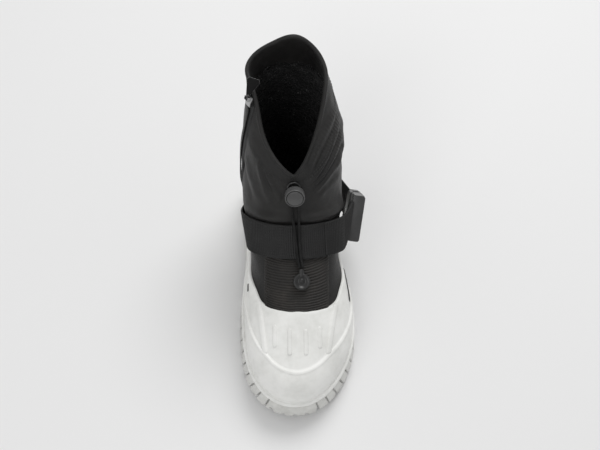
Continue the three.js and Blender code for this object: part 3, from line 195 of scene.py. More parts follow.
def boot_point(angle, level):
    """Point of the upper's outside, in mm; angle 0 is the front, + is lateral."""
    angle, level = matched(angle, level)
    (front, front_z, back, back_z, ball, waist, heel, nose, tail,
     roundness, swing, lateral, medial) = np.moveaxis(ring_at(level), -1, 0)
    angle = np.arctan2(np.sin(angle), np.cos(angle))
    share = (1 - np.cos(angle)) / 2
    along = front + share * (back - front)
    half = eased_between(along, WIDTH_PLACES, [ball, waist, heel])
    half = half * rounded_end(share / nose, roundness) * rounded_end((1 - share) / tail, HEEL_ROUND)
    centre = swing * SOLE_WIDTH * eased_between(along / SOLE_LENGTH, SWING_PLACES, SWING_SHIFTS)
    side = np.where(angle > 0, lateral, -medial)
    turn = (angle - ZIP_DENT["angle"]) / ZIP_DENT["reach"]
    up = (level - ZIP_DENT["level"]) / ZIP_DENT["levels"]
    dent = ZIP_DENT["depth"] * np.exp(-turn * turn - up * up)
    x = centre + side * half - np.sign(side) * dent
    return np.stack((x, along - TOE_REACH, front_z + share * (back_z - front_z)), -1)


def angle_at_length(along, level):
    """Angle from 0 to pi at which a level lies a length back from the tip of the toe."""
    ring = ring_at(level)
    return np.arccos(1 - 2 * (along - ring[..., 0]) / (ring[..., 2] - ring[..., 0]))


def round_the_boot(share):
    """Angle from the back, over the inner side, the front and the outer side, to the back again."""
    return -math.pi + 2 * math.pi * share


def unit(vectors):
    return vectors / np.maximum(np.linalg.norm(vectors, axis=-1, keepdims=True), 1e-9)


FEATHER_BLEND = 0.8


def boot_normal(angle, level):
    step = 0.02
    angle, level = matched(angle, level)
    high, low = np.minimum(level + step, COLLAR_LEVEL), np.maximum(level - step, 0)
    across = boot_point(angle + step, level) - boot_point(angle - step, level)
    normal = unit(np.cross(across, boot_point(angle, high) - boot_point(angle, low)))
    normal[..., 2] *= np.clip(level / FEATHER_BLEND, 0, 1)
    return unit(normal)


def on_boot(angle, level, offset=0.0):
    return boot_point(angle, level) + boot_normal(angle, level) * np.asarray(offset)[..., None]


print("toe tip:", on_boot(0.0, 0.0).round(1), "collar back:", on_boot(math.pi, 9.0).round(1))

# %% [markdown]
# ## Grids laid on a surface
# Most pieces start as a flat grid, which is cloth on a cutting table. Each point of the grid has a
# place across and along the cloth, and is then moved to its place on the boot. The grid's own flat
# places are kept as its UV map, in millimetres of cloth, so a weave can follow the piece.

# %% Laying and finishing
def lay_grid(shape, columns, rows, place, cut=(1.0, 1.0)):
    """Adds a flat grid to a bmesh and moves its points to place(across, along), in mm."""
    weave = shape.loops.layers.uv.verify()
    made = bmesh.ops.create_grid(shape, x_segments=columns, y_segments=rows, size=0.5)["verts"]
    flat = np.array([vert.co[:2] for vert in made]) + 0.5
    where = {vert: spot for vert, spot in zip(made, flat * np.array(cut))}
    for face in {face for vert in made for face in vert.link_faces}:
        for loop in face.loops:
            loop[weave].uv = where[loop.vert]
    for vert, point in zip(made, place(flat[:, 0], flat[:, 1]) * MM):
        vert.co = point
    return made


def finished(shape, name, sharp_above=None):
    """Makes an object of a bmesh at the origin, smooth but for edges sharper than a number of degrees."""
    for face in shape.faces:
        face.smooth = True
    if sharp_above is not None:
        for edge in shape.edges:
            if len(edge.link_faces) == 2 and edge.calc_face_angle(0) > math.radians(sharp_above):
                edge.smooth = False
    mesh = bpy.data.meshes.new(name)
    shape.to_mesh(mesh)
    shape.free()
    piece = bpy.data.objects.new(name, mesh)
    scene.collection.objects.link(piece)
    return piece


def laid_piece(name, columns, rows, place, cut=(1.0, 1.0), weld=0.01, cap=0):
    """A piece of one grid: points closer than weld (mm) are joined, ends of cap sides are closed."""
    shape = bmesh.new()
    lay_grid(shape, columns, rows, place, cut)
    bmesh.ops.remove_doubles(shape, verts=shape.verts, dist=weld * MM)
    if cap:
        bmesh.ops.holes_fill(shape, edges=shape.edges, sides=cap)
        bmesh.ops.recalc_face_normals(shape, faces=shape.faces)
    return finished(shape, name)


def dress(piece, material, body="boot", instead_of=()):
    """Gives a piece its finish, the body that carries it and the solids that it stands for."""
    if piece.data.materials:
        piece.data.materials[0] = material
    else:
        piece.data.materials.append(material)
    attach(piece, body)
    if instead_of:
        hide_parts(*instead_of)
    print(piece.name, "faces:", len(piece.data.polygons))
    return piece


def through(points, shares):
    """Places at shares 0 to 1 of a smooth curve through points, by number of points."""
    points = np.asarray(points, float)
    at = np.asarray(shares) * (len(points) - 1)
    k = np.clip(np.floor(at).astype(int), 0, len(points) - 2)
    s = (at - k).reshape(at.shape + (1,) * (points.ndim - 1))
    start, end = points[k], points[k + 1]
    before = np.where((k > 0).reshape(s.shape), points[np.maximum(k - 1, 0)], 2 * start - end)
    last = (k + 2 > len(points) - 1).reshape(s.shape)
    after = np.where(last, 2 * end - start, points[np.minimum(k + 2, len(points) - 1)])
    return cubic(start, end, (end - before) / 2, (after - start) / 2, s)


def run_along(line):
    """Length travelled at each point of a line."""
    return np.concatenate(([0], np.cumsum(np.linalg.norm(np.diff(line, axis=0), axis=1))))


def pebbled(points, size, seed):
    """Smooth noise from -1 to 1 at points in mm, with bumps of about a size."""
    shift = Vector((seed, 0, 0))
    return np.array([noise.noise(Vector(point) / size + shift) for point in points])


print("helpers ready")

# %% [markdown]
# ## Finishes
# Three effects are shared by the materials, so each is a node group that is built once: uneven tone,
# the threads of a weave, and a fine grain. A group only hands out values. The shader itself, and every
# number that is the same all over a piece, stays in the piece's own material.

# %% Shared effects
def effect_group(name, inputs, outputs):
    tree = bpy.data.node_groups.new(name, "ShaderNodeTree")
    for socket, kind, value in inputs:
        made = tree.interface.new_socket(socket, in_out="INPUT", socket_type=kind)
        if value is not None:
            made.default_value = value
    for socket, kind in outputs:
        tree.interface.new_socket(socket, in_out="OUTPUT", socket_type=kind)
    return tree, tree.nodes.new("NodeGroupInput"), tree.nodes.new("NodeGroupOutput")


def math_node(tree, operation, first, second=None):
    made = tree.nodes.new("ShaderNodeMath")
    made.operation = operation
    for socket, value in zip(made.inputs, (first, second)):
        if value is None:
            continue
        if isinstance(value, (int, float)):
            socket.default_value = value
        else:
            tree.links.new(value, socket)
    return made.outputs[0]


def noise_value(tree, vector, scale, detail=3.0, roughness=0.55):
    made = tree.nodes.new("ShaderNodeTexNoise")
    made.inputs["Detail"].default_value = detail
    made.inputs["Roughness"].default_value = roughness
    tree.links.new(vector, made.inputs["Vector"])
    if isinstance(scale, (int, float)):
        made.inputs["Scale"].default_value = scale
    else:
        tree.links.new(scale, made.inputs["Scale"])
    return made.outputs["Fac"]


VECTOR, FLOAT = "NodeSocketVector", "NodeSocketFloat"

uneven_tone, inside, outside = effect_group(
    "uneven_tone", [("Vector", VECTOR, None), ("Scale", FLOAT, 40.0)], [("Tone", FLOAT)])
wide = noise_value(uneven_tone, inside.outputs["Vector"], inside.outputs["Scale"], 4.0)
fine_scale = math_node(uneven_tone, "MULTIPLY", inside.outputs["Scale"], 7.0)
close = noise_value(uneven_tone, inside.outputs["Vector"], fine_scale, 2.0)
both = math_node(uneven_tone, "ADD", math_node(uneven_tone, "MULTIPLY", wide, 1.6),
                 math_node(uneven_tone, "MULTIPLY", close, 0.6))
uneven_tone.links.new(math_node(uneven_tone, "SUBTRACT", both, 0.6), outside.inputs["Tone"])

threads, inside, outside = effect_group(
    "threads", [("Vector", VECTOR, None), ("Across", FLOAT, 1.0), ("Along", FLOAT, 1.0)],
    [("Height", FLOAT)])
axes = threads.nodes.new("ShaderNodeSeparateXYZ")
threads.links.new(inside.outputs["Vector"], axes.inputs[0])
warp = math_node(threads, "SINE", math_node(threads, "MULTIPLY", axes.outputs["X"],
                                            inside.outputs["Across"]))
weft = math_node(threads, "SINE", math_node(threads, "MULTIPLY", axes.outputs["Y"],
                                            inside.outputs["Along"]))
crossed = math_node(threads, "MULTIPLY", warp, weft)
raised = math_node(threads, "MULTIPLY", math_node(threads, "ABSOLUTE", warp), 0.35)
threads.links.new(math_node(threads, "ADD", math_node(threads, "MULTIPLY", crossed, 0.5), raised),
                  outside.inputs["Height"])

fine_grain, inside, outside = effect_group(
    "fine_grain", [("Vector", VECTOR, None), ("Scale", FLOAT, 900.0)], [("Height", FLOAT)])
fine_grain.links.new(
    noise_value(fine_grain, inside.outputs["Vector"], inside.outputs["Scale"], 5.0, 0.6),
    outside.inputs["Height"])
print("effects:", [group.name for group in bpy.data.node_groups])


# %% A material
def placed_group(tree, group, vector, **values):
    made = tree.nodes.new("ShaderNodeGroup")
    made.node_tree = group
    tree.links.new(vector, made.inputs["Vector"])
    for socket, value in values.items():
        made.inputs[socket].default_value = value
    return made.outputs[0]


def add_bump(tree, height, distance, strength=1.0, below=None):
    """A Bump node over the one below it; distance is in metres."""
    made = tree.nodes.new("ShaderNodeBump")
    made.inputs["Distance"].default_value = distance
    made.inputs["Strength"].default_value = strength
    tree.links.new(height, made.inputs["Height"])
    if below is not None:
        tree.links.new(below, made.inputs["Normal"])
    return made.outputs["Normal"]


def ramp(tree, value, stops):
    """Colour from a value; stops are (place, (r, g, b))."""
    made = tree.nodes.new("ShaderNodeValToRGB")
    while len(made.color_ramp.elements) < len(stops):
        made.color_ramp.elements.new(0.5)
    for element, (place, colour) in zip(made.color_ramp.elements, stops):
        element.position = place
        element.color = (*colour, 1)
    tree.links.new(value, made.inputs["Fac"])
    return made.outputs["Color"]


def blank_finish(name):
    """A new material with its node tree and its surface shader."""
    material = bpy.data.materials.new(name)
    material.use_nodes = True
    return material, material.node_tree, material.node_tree.nodes["Principled BSDF"]


def new_finish(name, stops, rough, patch=40.0, grain=(900.0, 0.00005), weave=None,
               rough_swing=0.15, **shader):
    """A material with uneven colour and roughness, grain, and a weave on the piece's own UV map."""
    material, tree, surface = blank_finish(name)
    where = tree.nodes.new("ShaderNodeTexCoord")
    tone = placed_group(tree, uneven_tone, where.outputs["Object"], Scale=patch)
    tree.links.new(ramp(tree, tone, stops), surface.inputs["Base Color"])
    spread = tree.nodes.new("ShaderNodeMapRange")
    spread.inputs["To Min"].default_value = rough - rough_swing / 2
    spread.inputs["To Max"].default_value = rough + rough_swing / 2
    tree.links.new(tone, spread.inputs["Value"])
    tree.links.new(spread.outputs["Result"], surface.inputs["Roughness"])
    normal = None
    if grain:
        height = placed_group(tree, fine_grain, where.outputs["Object"], Scale=grain[0])
        normal = add_bump(tree, height, grain[1])
    if weave:
        across, along, depth = weave
        height = placed_group(tree, threads, where.outputs["UV"],
                              Across=math.pi / across, Along=math.pi / along)
        normal = add_bump(tree, height, depth, below=normal)
    if normal is not None:
        tree.links.new(normal, surface.inputs["Normal"])
    for socket, value in shader.items():
        surface.inputs[socket.replace("_", " ")].default_value = value
    return material


def grey(value, warm=0.0):
    return (value * (1 + warm), value, value * (1 - warm))


print("material recipe ready")

# %% [markdown]
# ## Drawcord
# Two strands of one round cord come down out of the lock, cross the strap and end in a flat button on
# the ribbed panel. Each is a tube laid along a smooth curve through listed points. The braid is
# a weave on the tube's own UV map, because a pattern in space would slide off a bent cord.

# %% Drawcord strands
CORD_RADIUS = 1.2
# Lateral place, length back from the toe tip, height
MEDIAL_STRAND = [
    (-1.9, 145, 160), (-1.9, 139.5, 146.2), (-1.3, 136.9, 140.5), (-0.4, 133, 134.6),
    (0.6, 128.7, 129.1), (1.8, 123.9, 123.4), (2.8, 118.4, 117.4), (3.7, 112.3, 111.4),
    (4.6, 107.1, 106.5), (6.3, 101.9, 101.1),
]
LATERAL_STRAND = [
    (3.7, 145, 160), (3.7, 139.5, 146.2), (4.2, 136.9, 140.5), (4.8, 133, 134.6),
    (5.2, 128.7, 129.1), (5.5, 123.9, 123.4), (5.8, 118.4, 117.4), (6.5, 112.3, 111.4),
    (7.4, 107.1, 106.5), (9.1, 101.9, 101.1),
]
TUBE_SIDES = 16


def tube(name, points, radius, steps):
    """A round tube along a smooth curve through points in mm; gives the piece and its path in metres."""
    path = through(points, np.linspace(0, 1, steps + 1))
    ahead = unit(np.gradient(path, axis=0))
    side = unit(np.cross(ahead, np.cross(np.array([1.0, 0, 0]), ahead)))
    over = np.cross(side, ahead)

    def place(across, along):
        k = np.rint(along * steps).astype(int)
        turn = (2 * math.pi * across)[:, None]
        return path[k] + radius * (side[k] * np.cos(turn) + over[k] * np.sin(turn))

    length = float(run_along(path)[-1])
    piece = laid_piece(name, TUBE_SIDES, steps, place, (2 * math.pi * radius, length), cap=TUBE_SIDES)
    return piece, path * MM, length * MM


cord_finish = new_finish(
    "cord_braid", [(0.25, grey(0.004)), (0.75, grey(0.014))], 0.6, patch=220,
    grain=None, weave=(0.9, 1.1, 0.0006), Specular_IOR_Level=0.3)
for strand_name, strand_points in (("drawcord_medial", MEDIAL_STRAND),
                                   ("drawcord_lateral", LATERAL_STRAND)):
    route = [(x, along - TOE_REACH, z) for x, along, z in strand_points]
    strand, path, strand_length = tube(strand_name + "_braid", route, CORD_RADIUS, 60)
    dress(strand, cord_finish, instead_of=[strand_name])
    print(strand_name, "length", round(strand_length, 4), "m")

# %% [markdown]
# ## Floor and light
# The photograph has a pale sweep, a soft light from above and behind, and a weak one from the front.
# A flat floor under a pale sky and two large area lamps give the same soft shadow before the toe.

# %% Floor and lamps
floor_shape = bmesh.new()
bmesh.ops.create_grid(floor_shape, x_segments=1, y_segments=1, size=6)
floor = finished(floor_shape, "floor")
floor_finish, _, floor_surface = blank_finish("floor_paper")
floor_surface.inputs["Base Color"].default_value = (0.83, 0.83, 0.83, 1)
floor_surface.inputs["Roughness"].default_value = 0.9
floor.data.materials.append(floor_finish)

world = bpy.data.worlds.new("studio")
scene.world = world
world.use_nodes = True
world.node_tree.nodes["Background"].inputs["Color"].default_value = (1, 1, 1, 1)
world.node_tree.nodes["Background"].inputs["Strength"].default_value = 0.5
scene.view_settings.view_transform = "Standard"


def lamp(name, place, aim, size, power):
    data = bpy.data.lights.new(name, "AREA")
    data.shape = "DISK"
    data.size = size
    data.energy = power
    made = bpy.data.objects.new(name, data)
    made.location = place
    made.rotation_euler = (Vector(aim) - Vector(place)).to_track_quat("-Z", "Y").to_euler()
    scene.collection.objects.link(made)


lamp("key_lamp", (0.35, 0.75, 1.5), (0, -0.08, 0.08), 0.9, 14)
lamp("fill_lamp", (-0.6, -1.2, 1.2), (0, -0.1, 0.1), 1.0, 5.5)
print("lamps:", len(bpy.data.lights))

# %% [markdown]
# ## Rubber shell
# The white foot is one moulding with three depths: a thick bumper low down, a thinner wall above its
# step, and a rounded top edge against the cloth. Each column of the grid runs up through those
# depths, so the step and the edge stay crisp all the way round. The two ridges and the four bars on
# the toe are raised strips with rounded ends, laid on the wall.

# %% Rubber shell
FIT = 0.3
SHELL_WALL, BUMPER_STEP, BEAD_LEDGE, BEAD_WIDTH = 2.2, 1.6, 0.8, 2.4
SHELL_OUTSIDE = FIT + SHELL_WALL
BUMPER_OUTSIDE = SHELL_OUTSIDE + BUMPER_STEP
BEAD_OUTSIDE = BUMPER_OUTSIDE + BEAD_LEDGE + BEAD_WIDTH
RIDGE_HALF, RIDGE_HEIGHT = 3.0, 2.0
BAR_HALF, BAR_HEIGHT = 2.3, 1.25
STRIP_COLUMNS, STRIP_ROWS = 10, 40
# Degrees from the front, level of the shell's top edge
SHELL_EDGE = [(0, 3.97), (15, 3.9), (25, 3.79), (33, 3.65), (40, 3.52), (46, 3.42), (52, 3.45), (60, 3.3),
              (70, 3.05), (82, 2.95), (100, 3), (120, 3.5), (138, 4.05), (153, 4.4), (180, 4.6)]
BUMPER_EDGE = [(0, 2.22), (30, 2.3), (45, 2.1), (65, 1.75), (100, 1.4), (180, 1.3)]


def edge_level(rows, angle, soften=2.5):
    """Level of an edge line at angles, with its corners rounded over a few degrees."""
    turn = np.abs(np.degrees(angle))
    places, levels = zip(*rows)
    return sum(np.interp(np.abs(turn + shift), places, levels)
               for shift in (-soften, -soften / 2, 0, soften / 2, soften)) / 5


# Row: share of the way from 0 to the step, share of the way from the step to the edge,
# level added, offset from the cloth
SHELL_ROWS = [
    (0.00, 0.0, 0.00, BUMPER_OUTSIDE + 2.2), (0.00, 0.0, 0.08, BUMPER_OUTSIDE + 1.2),
    (0.00, 0.0, 0.16, BUMPER_OUTSIDE + 0.4), (0.08, 0.0, 0.12, BUMPER_OUTSIDE),
    (0.60, 0.0, 0.00, BUMPER_OUTSIDE),
    (1.00, 0.0, -0.16, BUMPER_OUTSIDE), (1.00, 0.0, -0.10, BUMPER_OUTSIDE + 0.25),
    (1.00, 0.0, -0.05, BUMPER_OUTSIDE + 0.30), (1.00, 0.0, -0.01, BUMPER_OUTSIDE + 0.1),
    (1.00, 0.0, 0.02, BUMPER_OUTSIDE - 0.5), (1.00, 0.0, 0.04, SHELL_OUTSIDE + 0.4),
    (1.00, 0.0, 0.07, SHELL_OUTSIDE + 0.05), (1.00, 0.0, 0.12, SHELL_OUTSIDE),
    (1.00, 0.35, 0.0, SHELL_OUTSIDE), (1.00, 0.7, 0.0, SHELL_OUTSIDE),
    (1.00, 1.0, -0.16, SHELL_OUTSIDE), (1.00, 1.0, -0.07, SHELL_OUTSIDE - 0.05),
    (1.00, 1.0, -0.02, SHELL_OUTSIDE - 0.4), (1.00, 1.0, 0.00, SHELL_OUTSIDE - 1.0),
    (1.00, 1.0, 0.01, SHELL_OUTSIDE - 1.7), (1.00, 1.0, 0.00, 0.1), (1.00, 1.0, -0.2, -0.6),
]


def shell_place(across, along):
    angle = round_the_boot(across)
    edge, step = edge_level(SHELL_EDGE, angle), edge_level(BUMPER_EDGE, angle)
    below, above, added, offset = through(np.array(SHELL_ROWS), along).T
    # The step fades into a slope on the outer side of the foot
    sloping = ease((angle + 0.2) / 0.7) * (added > 0) * (below > 0.9) * (1 - ease(above / 0.35))
    added = added * (1 + sloping)
    return on_boot(angle, below * step + above * (edge - step) + added, offset)


def strip_on_boot(shape, places, half_width, height):
    """Adds a raised strip with rounded sides and ends to the shell, along places of (angle, level)."""
    centre = through(np.array(places), np.linspace(0, 1, STRIP_ROWS + 1))
    line = on_boot(centre[:, 0], centre[:, 1], SHELL_OUTSIDE)
    normal = boot_normal(centre[:, 0], centre[:, 1])
    run = np.gradient(line, axis=0)
    side = unit(np.cross(run, normal))
    travelled = run_along(line)

    def place(across, along):
        k = np.rint(along * STRIP_ROWS).astype(int)
        to_end = np.minimum(travelled[k], travelled[-1] - travelled[k])
        end = np.sqrt(np.clip(1 - (1 - np.clip(to_end / half_width, 0, 1)) ** 2, 0, 1))
        offside = 2 * across - 1
        rise = height * (1 - np.abs(offside) ** 4) * end - 0.25
        return (line[k] + side[k] * (offside * half_width * np.maximum(end, 0.15))[:, None]
                + normal[k] * rise[:, None])

    lay_grid(shape, STRIP_COLUMNS, STRIP_ROWS, place)


def on_vamp(x, y):
    """Angle and level of the vamp's point at a place seen from above, by halving the levels."""
    low, high = 0.3, 5.5
    side = 1 if x > boot_point(0.0, 2.0)[0] else -1
    for _ in range(40):
        level = (low + high) / 2
        ring = ring_at(np.array(level))
        share = min(max((y + TOE_REACH - ring[0]) / (ring[2] - ring[0]), 0), 1)
        angle = side * math.acos(1 - 2 * share)
        if angle != 0 and side * (boot_point(angle, level)[0] - x) > 0:
            low = level
        else:
            high = level
    return angle, level


shell = bmesh.new()
lay_grid(shell, 300, 80, shell_place)
bmesh.ops.remove_doubles(shell, verts=shell.verts, dist=0.01 * MM)
RIDGES = [[(-46.5, 3.36), (-40, 3.0), (-35, 2.62), (-29.5, 2.23)],
          [(41.5, 3.46), (36, 3.18), (31.5, 2.78), (28, 2.28)]]
for ridge in RIDGES:
    strip_on_boot(shell, [(math.radians(turn), level) for turn, level in ridge], RIDGE_HALF, RIDGE_HEIGHT)
# Bars: across by the sole's width, from and to by its length
BARS = [(-0.14, 0.152, 0.218), (-0.023, 0.125, 0.202), (0.107, 0.125, 0.2), (0.22, 0.149, 0.212)]
for across, near, far in BARS:
    bar = [on_vamp(across * SOLE_WIDTH, (near + (far - near) * share) * SOLE_LENGTH - TOE_REACH)
           for share in np.linspace(0, 1, 7)]
    strip_on_boot(shell, bar, BAR_HALF, BAR_HEIGHT)
rubber_shell = finished(shell, "moulded_shell")
rubber_finish = new_finish(
    "shell_rubber", [(0.2, (0.76, 0.762, 0.735)), (0.55, (0.86, 0.862, 0.838)), (0.9, (0.89, 0.89, 0.87))],
    0.42, patch=22, grain=(1400, 0.00003), Specular_IOR_Level=0.45)
dress(rubber_shell, rubber_finish, instead_of=["rubber_shell"])

# %% [markdown]
# ## Sole
# The sole is a closed block: a wall round the outline with a rounded bead at its top, a flat top and
# a tread that follows the ground line, with toe spring, arch and a lifted heel edge. The lugs are
# what is left when chevron grooves are cut across the tread. The slits of the wall are cut in the
# same way, with thin leaning boxes, as a knife would cut them in the mould.

# %% Outline of the sole
TOE_SPRING, ARCH_LIFT, HEEL_LIFT = 9.0, 5.0, 3.0


def outline_point(angle, offset):
    step = 0.02
    run = boot_point(angle + step, 0.0) - boot_point(angle - step, 0.0)
    outward = unit(np.stack((run[..., 1], -run[..., 0], 0 * run[..., 0]), -1))
    return boot_point(angle, 0.0) + outward * np.asarray(offset)[..., None]


def sole_top(y):
    front, back = ring_table[0][0], ring_table[0][2]
    share = (y + TOE_REACH - front) / (back - front)
    return SOLE_TOP_TOE + (SOLE_TOP_HEEL - SOLE_TOP_TOE) * share - FIT


def ground(y):
    share = (y + TOE_REACH) / SOLE_LENGTH
    spring = TOE_SPRING * np.interp(share, [0, 0.06, 0.12, 0.2], [1, 0.62, 0.3, 0])
    arch = ARCH_LIFT * ease((share - 0.46) / 0.06) * ease((0.74 - share) / 0.04)
    return spring + arch + HEEL_LIFT * ease((share - 0.95) / 0.06)


# Row of the wall: offset from the feather line, share of the way up from the ground, drop
SOLE_ROWS = [
    (SOLE_FLARE - 2.5, 0.0, 0.0), (SOLE_FLARE - 1.2, 0.0, -0.25), (SOLE_FLARE - 0.3, 0.05, 0.0),
    (SOLE_FLARE, 0.14, 0.0), (SOLE_FLARE - 0.5, 0.35, 0.0), (SOLE_FLARE - 1.0, 0.6, 0.0),
    (BEAD_OUTSIDE - 0.8, 1.0, 5.6), (BEAD_OUTSIDE - 1.8, 1.0, 4.6), (BEAD_OUTSIDE - 2.5, 1.0, 3.9),
    (BEAD_OUTSIDE - 2.1, 1.0, 3.2), (BEAD_OUTSIDE - 0.9, 1.0, 2.9), (BEAD_OUTSIDE - 0.2, 1.0, 2.2),
    (BEAD_OUTSIDE, 1.0, 1.2), (BEAD_OUTSIDE - 0.2, 1.0, 0.2), (BEAD_OUTSIDE - 0.7, 1.0, -0.7),
    (BEAD_OUTSIDE - 1.5, 1.0, -1.2), (BEAD_OUTSIDE - 2.3, 1.0, -0.9), (BEAD_OUTSIDE - 2.7, 1.0, -0.1),
    (BEAD_OUTSIDE - 2.9, 1.0, 0.0),
]


def sole_point(angle, row):
    offset, share, drop = through(np.array(SOLE_ROWS), row).T
    point = outline_point(angle, offset)
    low, high = ground(point[:, 1]), sole_top(point[:, 1])
    point[:, 2] = low + (high - low) * share - drop
    return point


def sole_face(row):
    """A face of rungs from side to side, between the left and right half of one row of the wall."""
    def place(across, along):
        angle = math.pi * along
        left = sole_point(-angle, np.full_like(along, row))
        right = sole_point(angle, np.full_like(along, row))
        point = left + (right - left) * across[:, None]
        height = ground(point[:, 1]) if row == 0 else sole_top(point[:, 1])
        inner = (across > 0) & (across < 1)
        point[:, 2] = np.where(inner, height, point[:, 2])
        return point
    return place


SOLE_COLUMNS = 240
sole = bmesh.new()
lay_grid(sole, SOLE_COLUMNS, 2 * (len(SOLE_ROWS) - 1),
         lambda across, along: sole_point(round_the_boot(across), along))
for row in (0, 1):
    lay_grid(sole, 6, SOLE_COLUMNS // 2, sole_face(row))
bmesh.ops.remove_doubles(sole, verts=sole.verts, dist=0.02 * MM)
bmesh.ops.dissolve_degenerate(sole, edges=sole.edges, dist=0.001 * MM)
bmesh.ops.recalc_face_normals(sole, faces=sole.faces)
open_edges = sum(not edge.is_manifold for edge in sole.edges)
outsole = finished(sole, "moulded_sole", sharp_above=60)
print("sole faces:", len(outsole.data.polygons), "open edges:", open_edges)

# %% Grooves and slits
GROOVE_WIDTH, GROOVE_DEPTH, GROOVE_PITCH = 4.0, 4.5, 22.0
SLIT_WIDTH, SLIT_DEPTH, SLIT_PITCH, TOE_BLOCK = 1.7, 3.0, 12.0, 21.0
NOTCH_PITCH, NOTCH_SIZE = 10.5, (2.8, 16.0, 8.0)
GROOVE_TURN, SLIT_LEAN = math.radians(14), math.radians(22)
# Depths below the top of the sole: where the slits end, and where the bead ends, as far down as its painted
# highlight goes
SLIT_TOP, BEAD_HIGHLIGHT_BAND = 4.6, 3.6
WALL_STEPS = 720
SPINE = 0.03 * SOLE_WIDTH


def box_at(shape, size, place, turn=0.0, lean=0.0):
    where = (Matrix.Translation(Vector(place) * MM) @ Matrix.Rotation(turn, 4, "Z")
             @ Matrix.Rotation(lean, 4, "X") @ Matrix.Diagonal((*(Vector(size) * MM), 1)))
    bmesh.ops.create_cube(shape, size=1, matrix=where)


def cut_away(piece, cutter_shape):
    cutter = finished(cutter_shape, "cutter")
    cut = piece.modifiers.new("cut", "BOOLEAN")
    cut.operation, cut.solver, cut.object = "DIFFERENCE", "EXACT", cutter
    made = bpy.data.meshes.new_from_object(piece.evaluated_get(bpy.context.evaluated_depsgraph_get()))
    piece.modifiers.clear()
    piece.data = made
    bpy.data.objects.remove(cutter)


for side in (-1, 1):
    grooves = bmesh.new()
    for count in range(1, int(SOLE_LENGTH // GROOVE_PITCH)):
        y = count * GROOVE_PITCH - TOE_REACH
        reach = 0.6 * SOLE_WIDTH
        place = (SPINE + side * 0.45 * reach, y, float(ground(y)))
        box_at(grooves, (reach, GROOVE_WIDTH, 2 * GROOVE_DEPTH), place, side * GROOVE_TURN)
    cut_away(outsole, grooves)
spine = bmesh.new()
box_at(spine, (GROOVE_WIDTH, 0.68 * SOLE_LENGTH, 2 * GROOVE_DEPTH + 0.02),
       (SPINE, SOLE_LENGTH / 2 - TOE_REACH, 0))
cut_away(outsole, spine)

slits = bmesh.new()
walk = -math.pi + 2 * math.pi * np.arange(WALL_STEPS + 1) / WALL_STEPS
wall = outline_point(walk, SOLE_FLARE)
travelled = 0.0
for i in range(1, WALL_STEPS + 1):
    travelled += float(np.linalg.norm(wall[i] - wall[i - 1]))
    if travelled < SLIT_PITCH or abs(wall[i][0] - wall[WALL_STEPS // 2][0]) < TOE_BLOCK:
        continue
    travelled = 0.0
    x, y, _ = wall[i]
    low, high = float(ground(y)), float(sole_top(y)) - SLIT_TOP
    out = wall[i] - boot_point(walk[i], 0.0)
    lean = math.copysign(SLIT_LEAN, walk[i]) * min(abs(walk[i]) / 0.6, 1)
    box_at(slits, (2 * SLIT_DEPTH, SLIT_WIDTH, high - low + 2), (x, y, (low + high) / 2 - 1),
           math.atan2(out[1], out[0]), lean)
cut_away(outsole, slits)
# Notches between the blocks of the toe's lower edge
notches = bmesh.new()
toe_x, toe_y, _ = outline_point(0.0, SOLE_FLARE)
for count in range(-2, 3):
    box_at(notches, NOTCH_SIZE, (toe_x + count * NOTCH_PITCH, toe_y + 5, float(ground(toe_y)) - 0.4))
cut_away(outsole, notches)
# The wall's darker grey is partly the sole's greyer rubber and partly painted shade
sole_finish_painted_shade = new_finish(
    "sole_rubber_painted_shade", [(0.2, (0.56, 0.56, 0.535)), (0.6, (0.70, 0.70, 0.675)), (0.95, (0.76, 0.76, 0.74))],
    0.5, patch=26, grain=(1100, 0.00004))
dress(outsole, sole_finish_painted_shade, instead_of=["outsole"])
# The bead at the top of the wall gets the shell's brighter finish, a painted highlight, above the painted
# shade of the darker wall
outsole.data.materials.append(rubber_finish)
for face in outsole.data.polygons:
    middle = np.array(face.center) / MM
    face.material_index = int(middle[2] > sole_top(middle[1]) - BEAD_HIGHLIGHT_BAND)

# %% [markdown]
# ## Shaft cloth
# The shaft is one sheet that runs up the outside, rolls over the rim and comes down inside as a
# facing. Its main creases are given as soft ridges and troughs along lines of angle and level:
# the gathers that the drawcord pulls towards its lock, the slack above the strap, and the ankle
# folds where a worn boot bends. Fine slackness between them comes from smooth noise.

# %% Straight measures on the boot
STRAP_SLOPE = math.radians(35)
STRAP_AT = 0.428
STRAP_WIDTH = 30.0
strap_across = np.array([0, math.sin(STRAP_SLOPE), math.cos(STRAP_SLOPE)])


def level_where(angle, measure, value):
    """Level at which a rising measure of the surface point reaches a value."""
    angle, value = matched(angle, value)
    low, high = halved(np.zeros(angle.shape), np.full(angle.shape, float(COLLAR_LEVEL)),
                       lambda level: measure(boot_point(angle, level)) < value, 34)
    return (low + high) / 2


def strap_measure(points):
    return points @ strap_across


def angle_across(x, level):
    """Angle of the front half at which a level lies a distance sideways."""
    x, level = matched(x, level)
    side = np.where(x < 0, -1.0, 1.0)
    low, high = halved(np.zeros(x.shape), np.full(x.shape, math.pi / 2),
                       lambda turn: side * boot_point(side * turn, level)[..., 0] < side * x, 30)
    return side * (low + high) / 2


crossing_level = level_where(0.0, lambda p: p[..., 1], STRAP_AT * SOLE_LENGTH - TOE_REACH)
strap_middle = float(strap_measure(boot_point(0.0, crossing_level)))
print("strap crosses at level", round(float(crossing_level), 2))

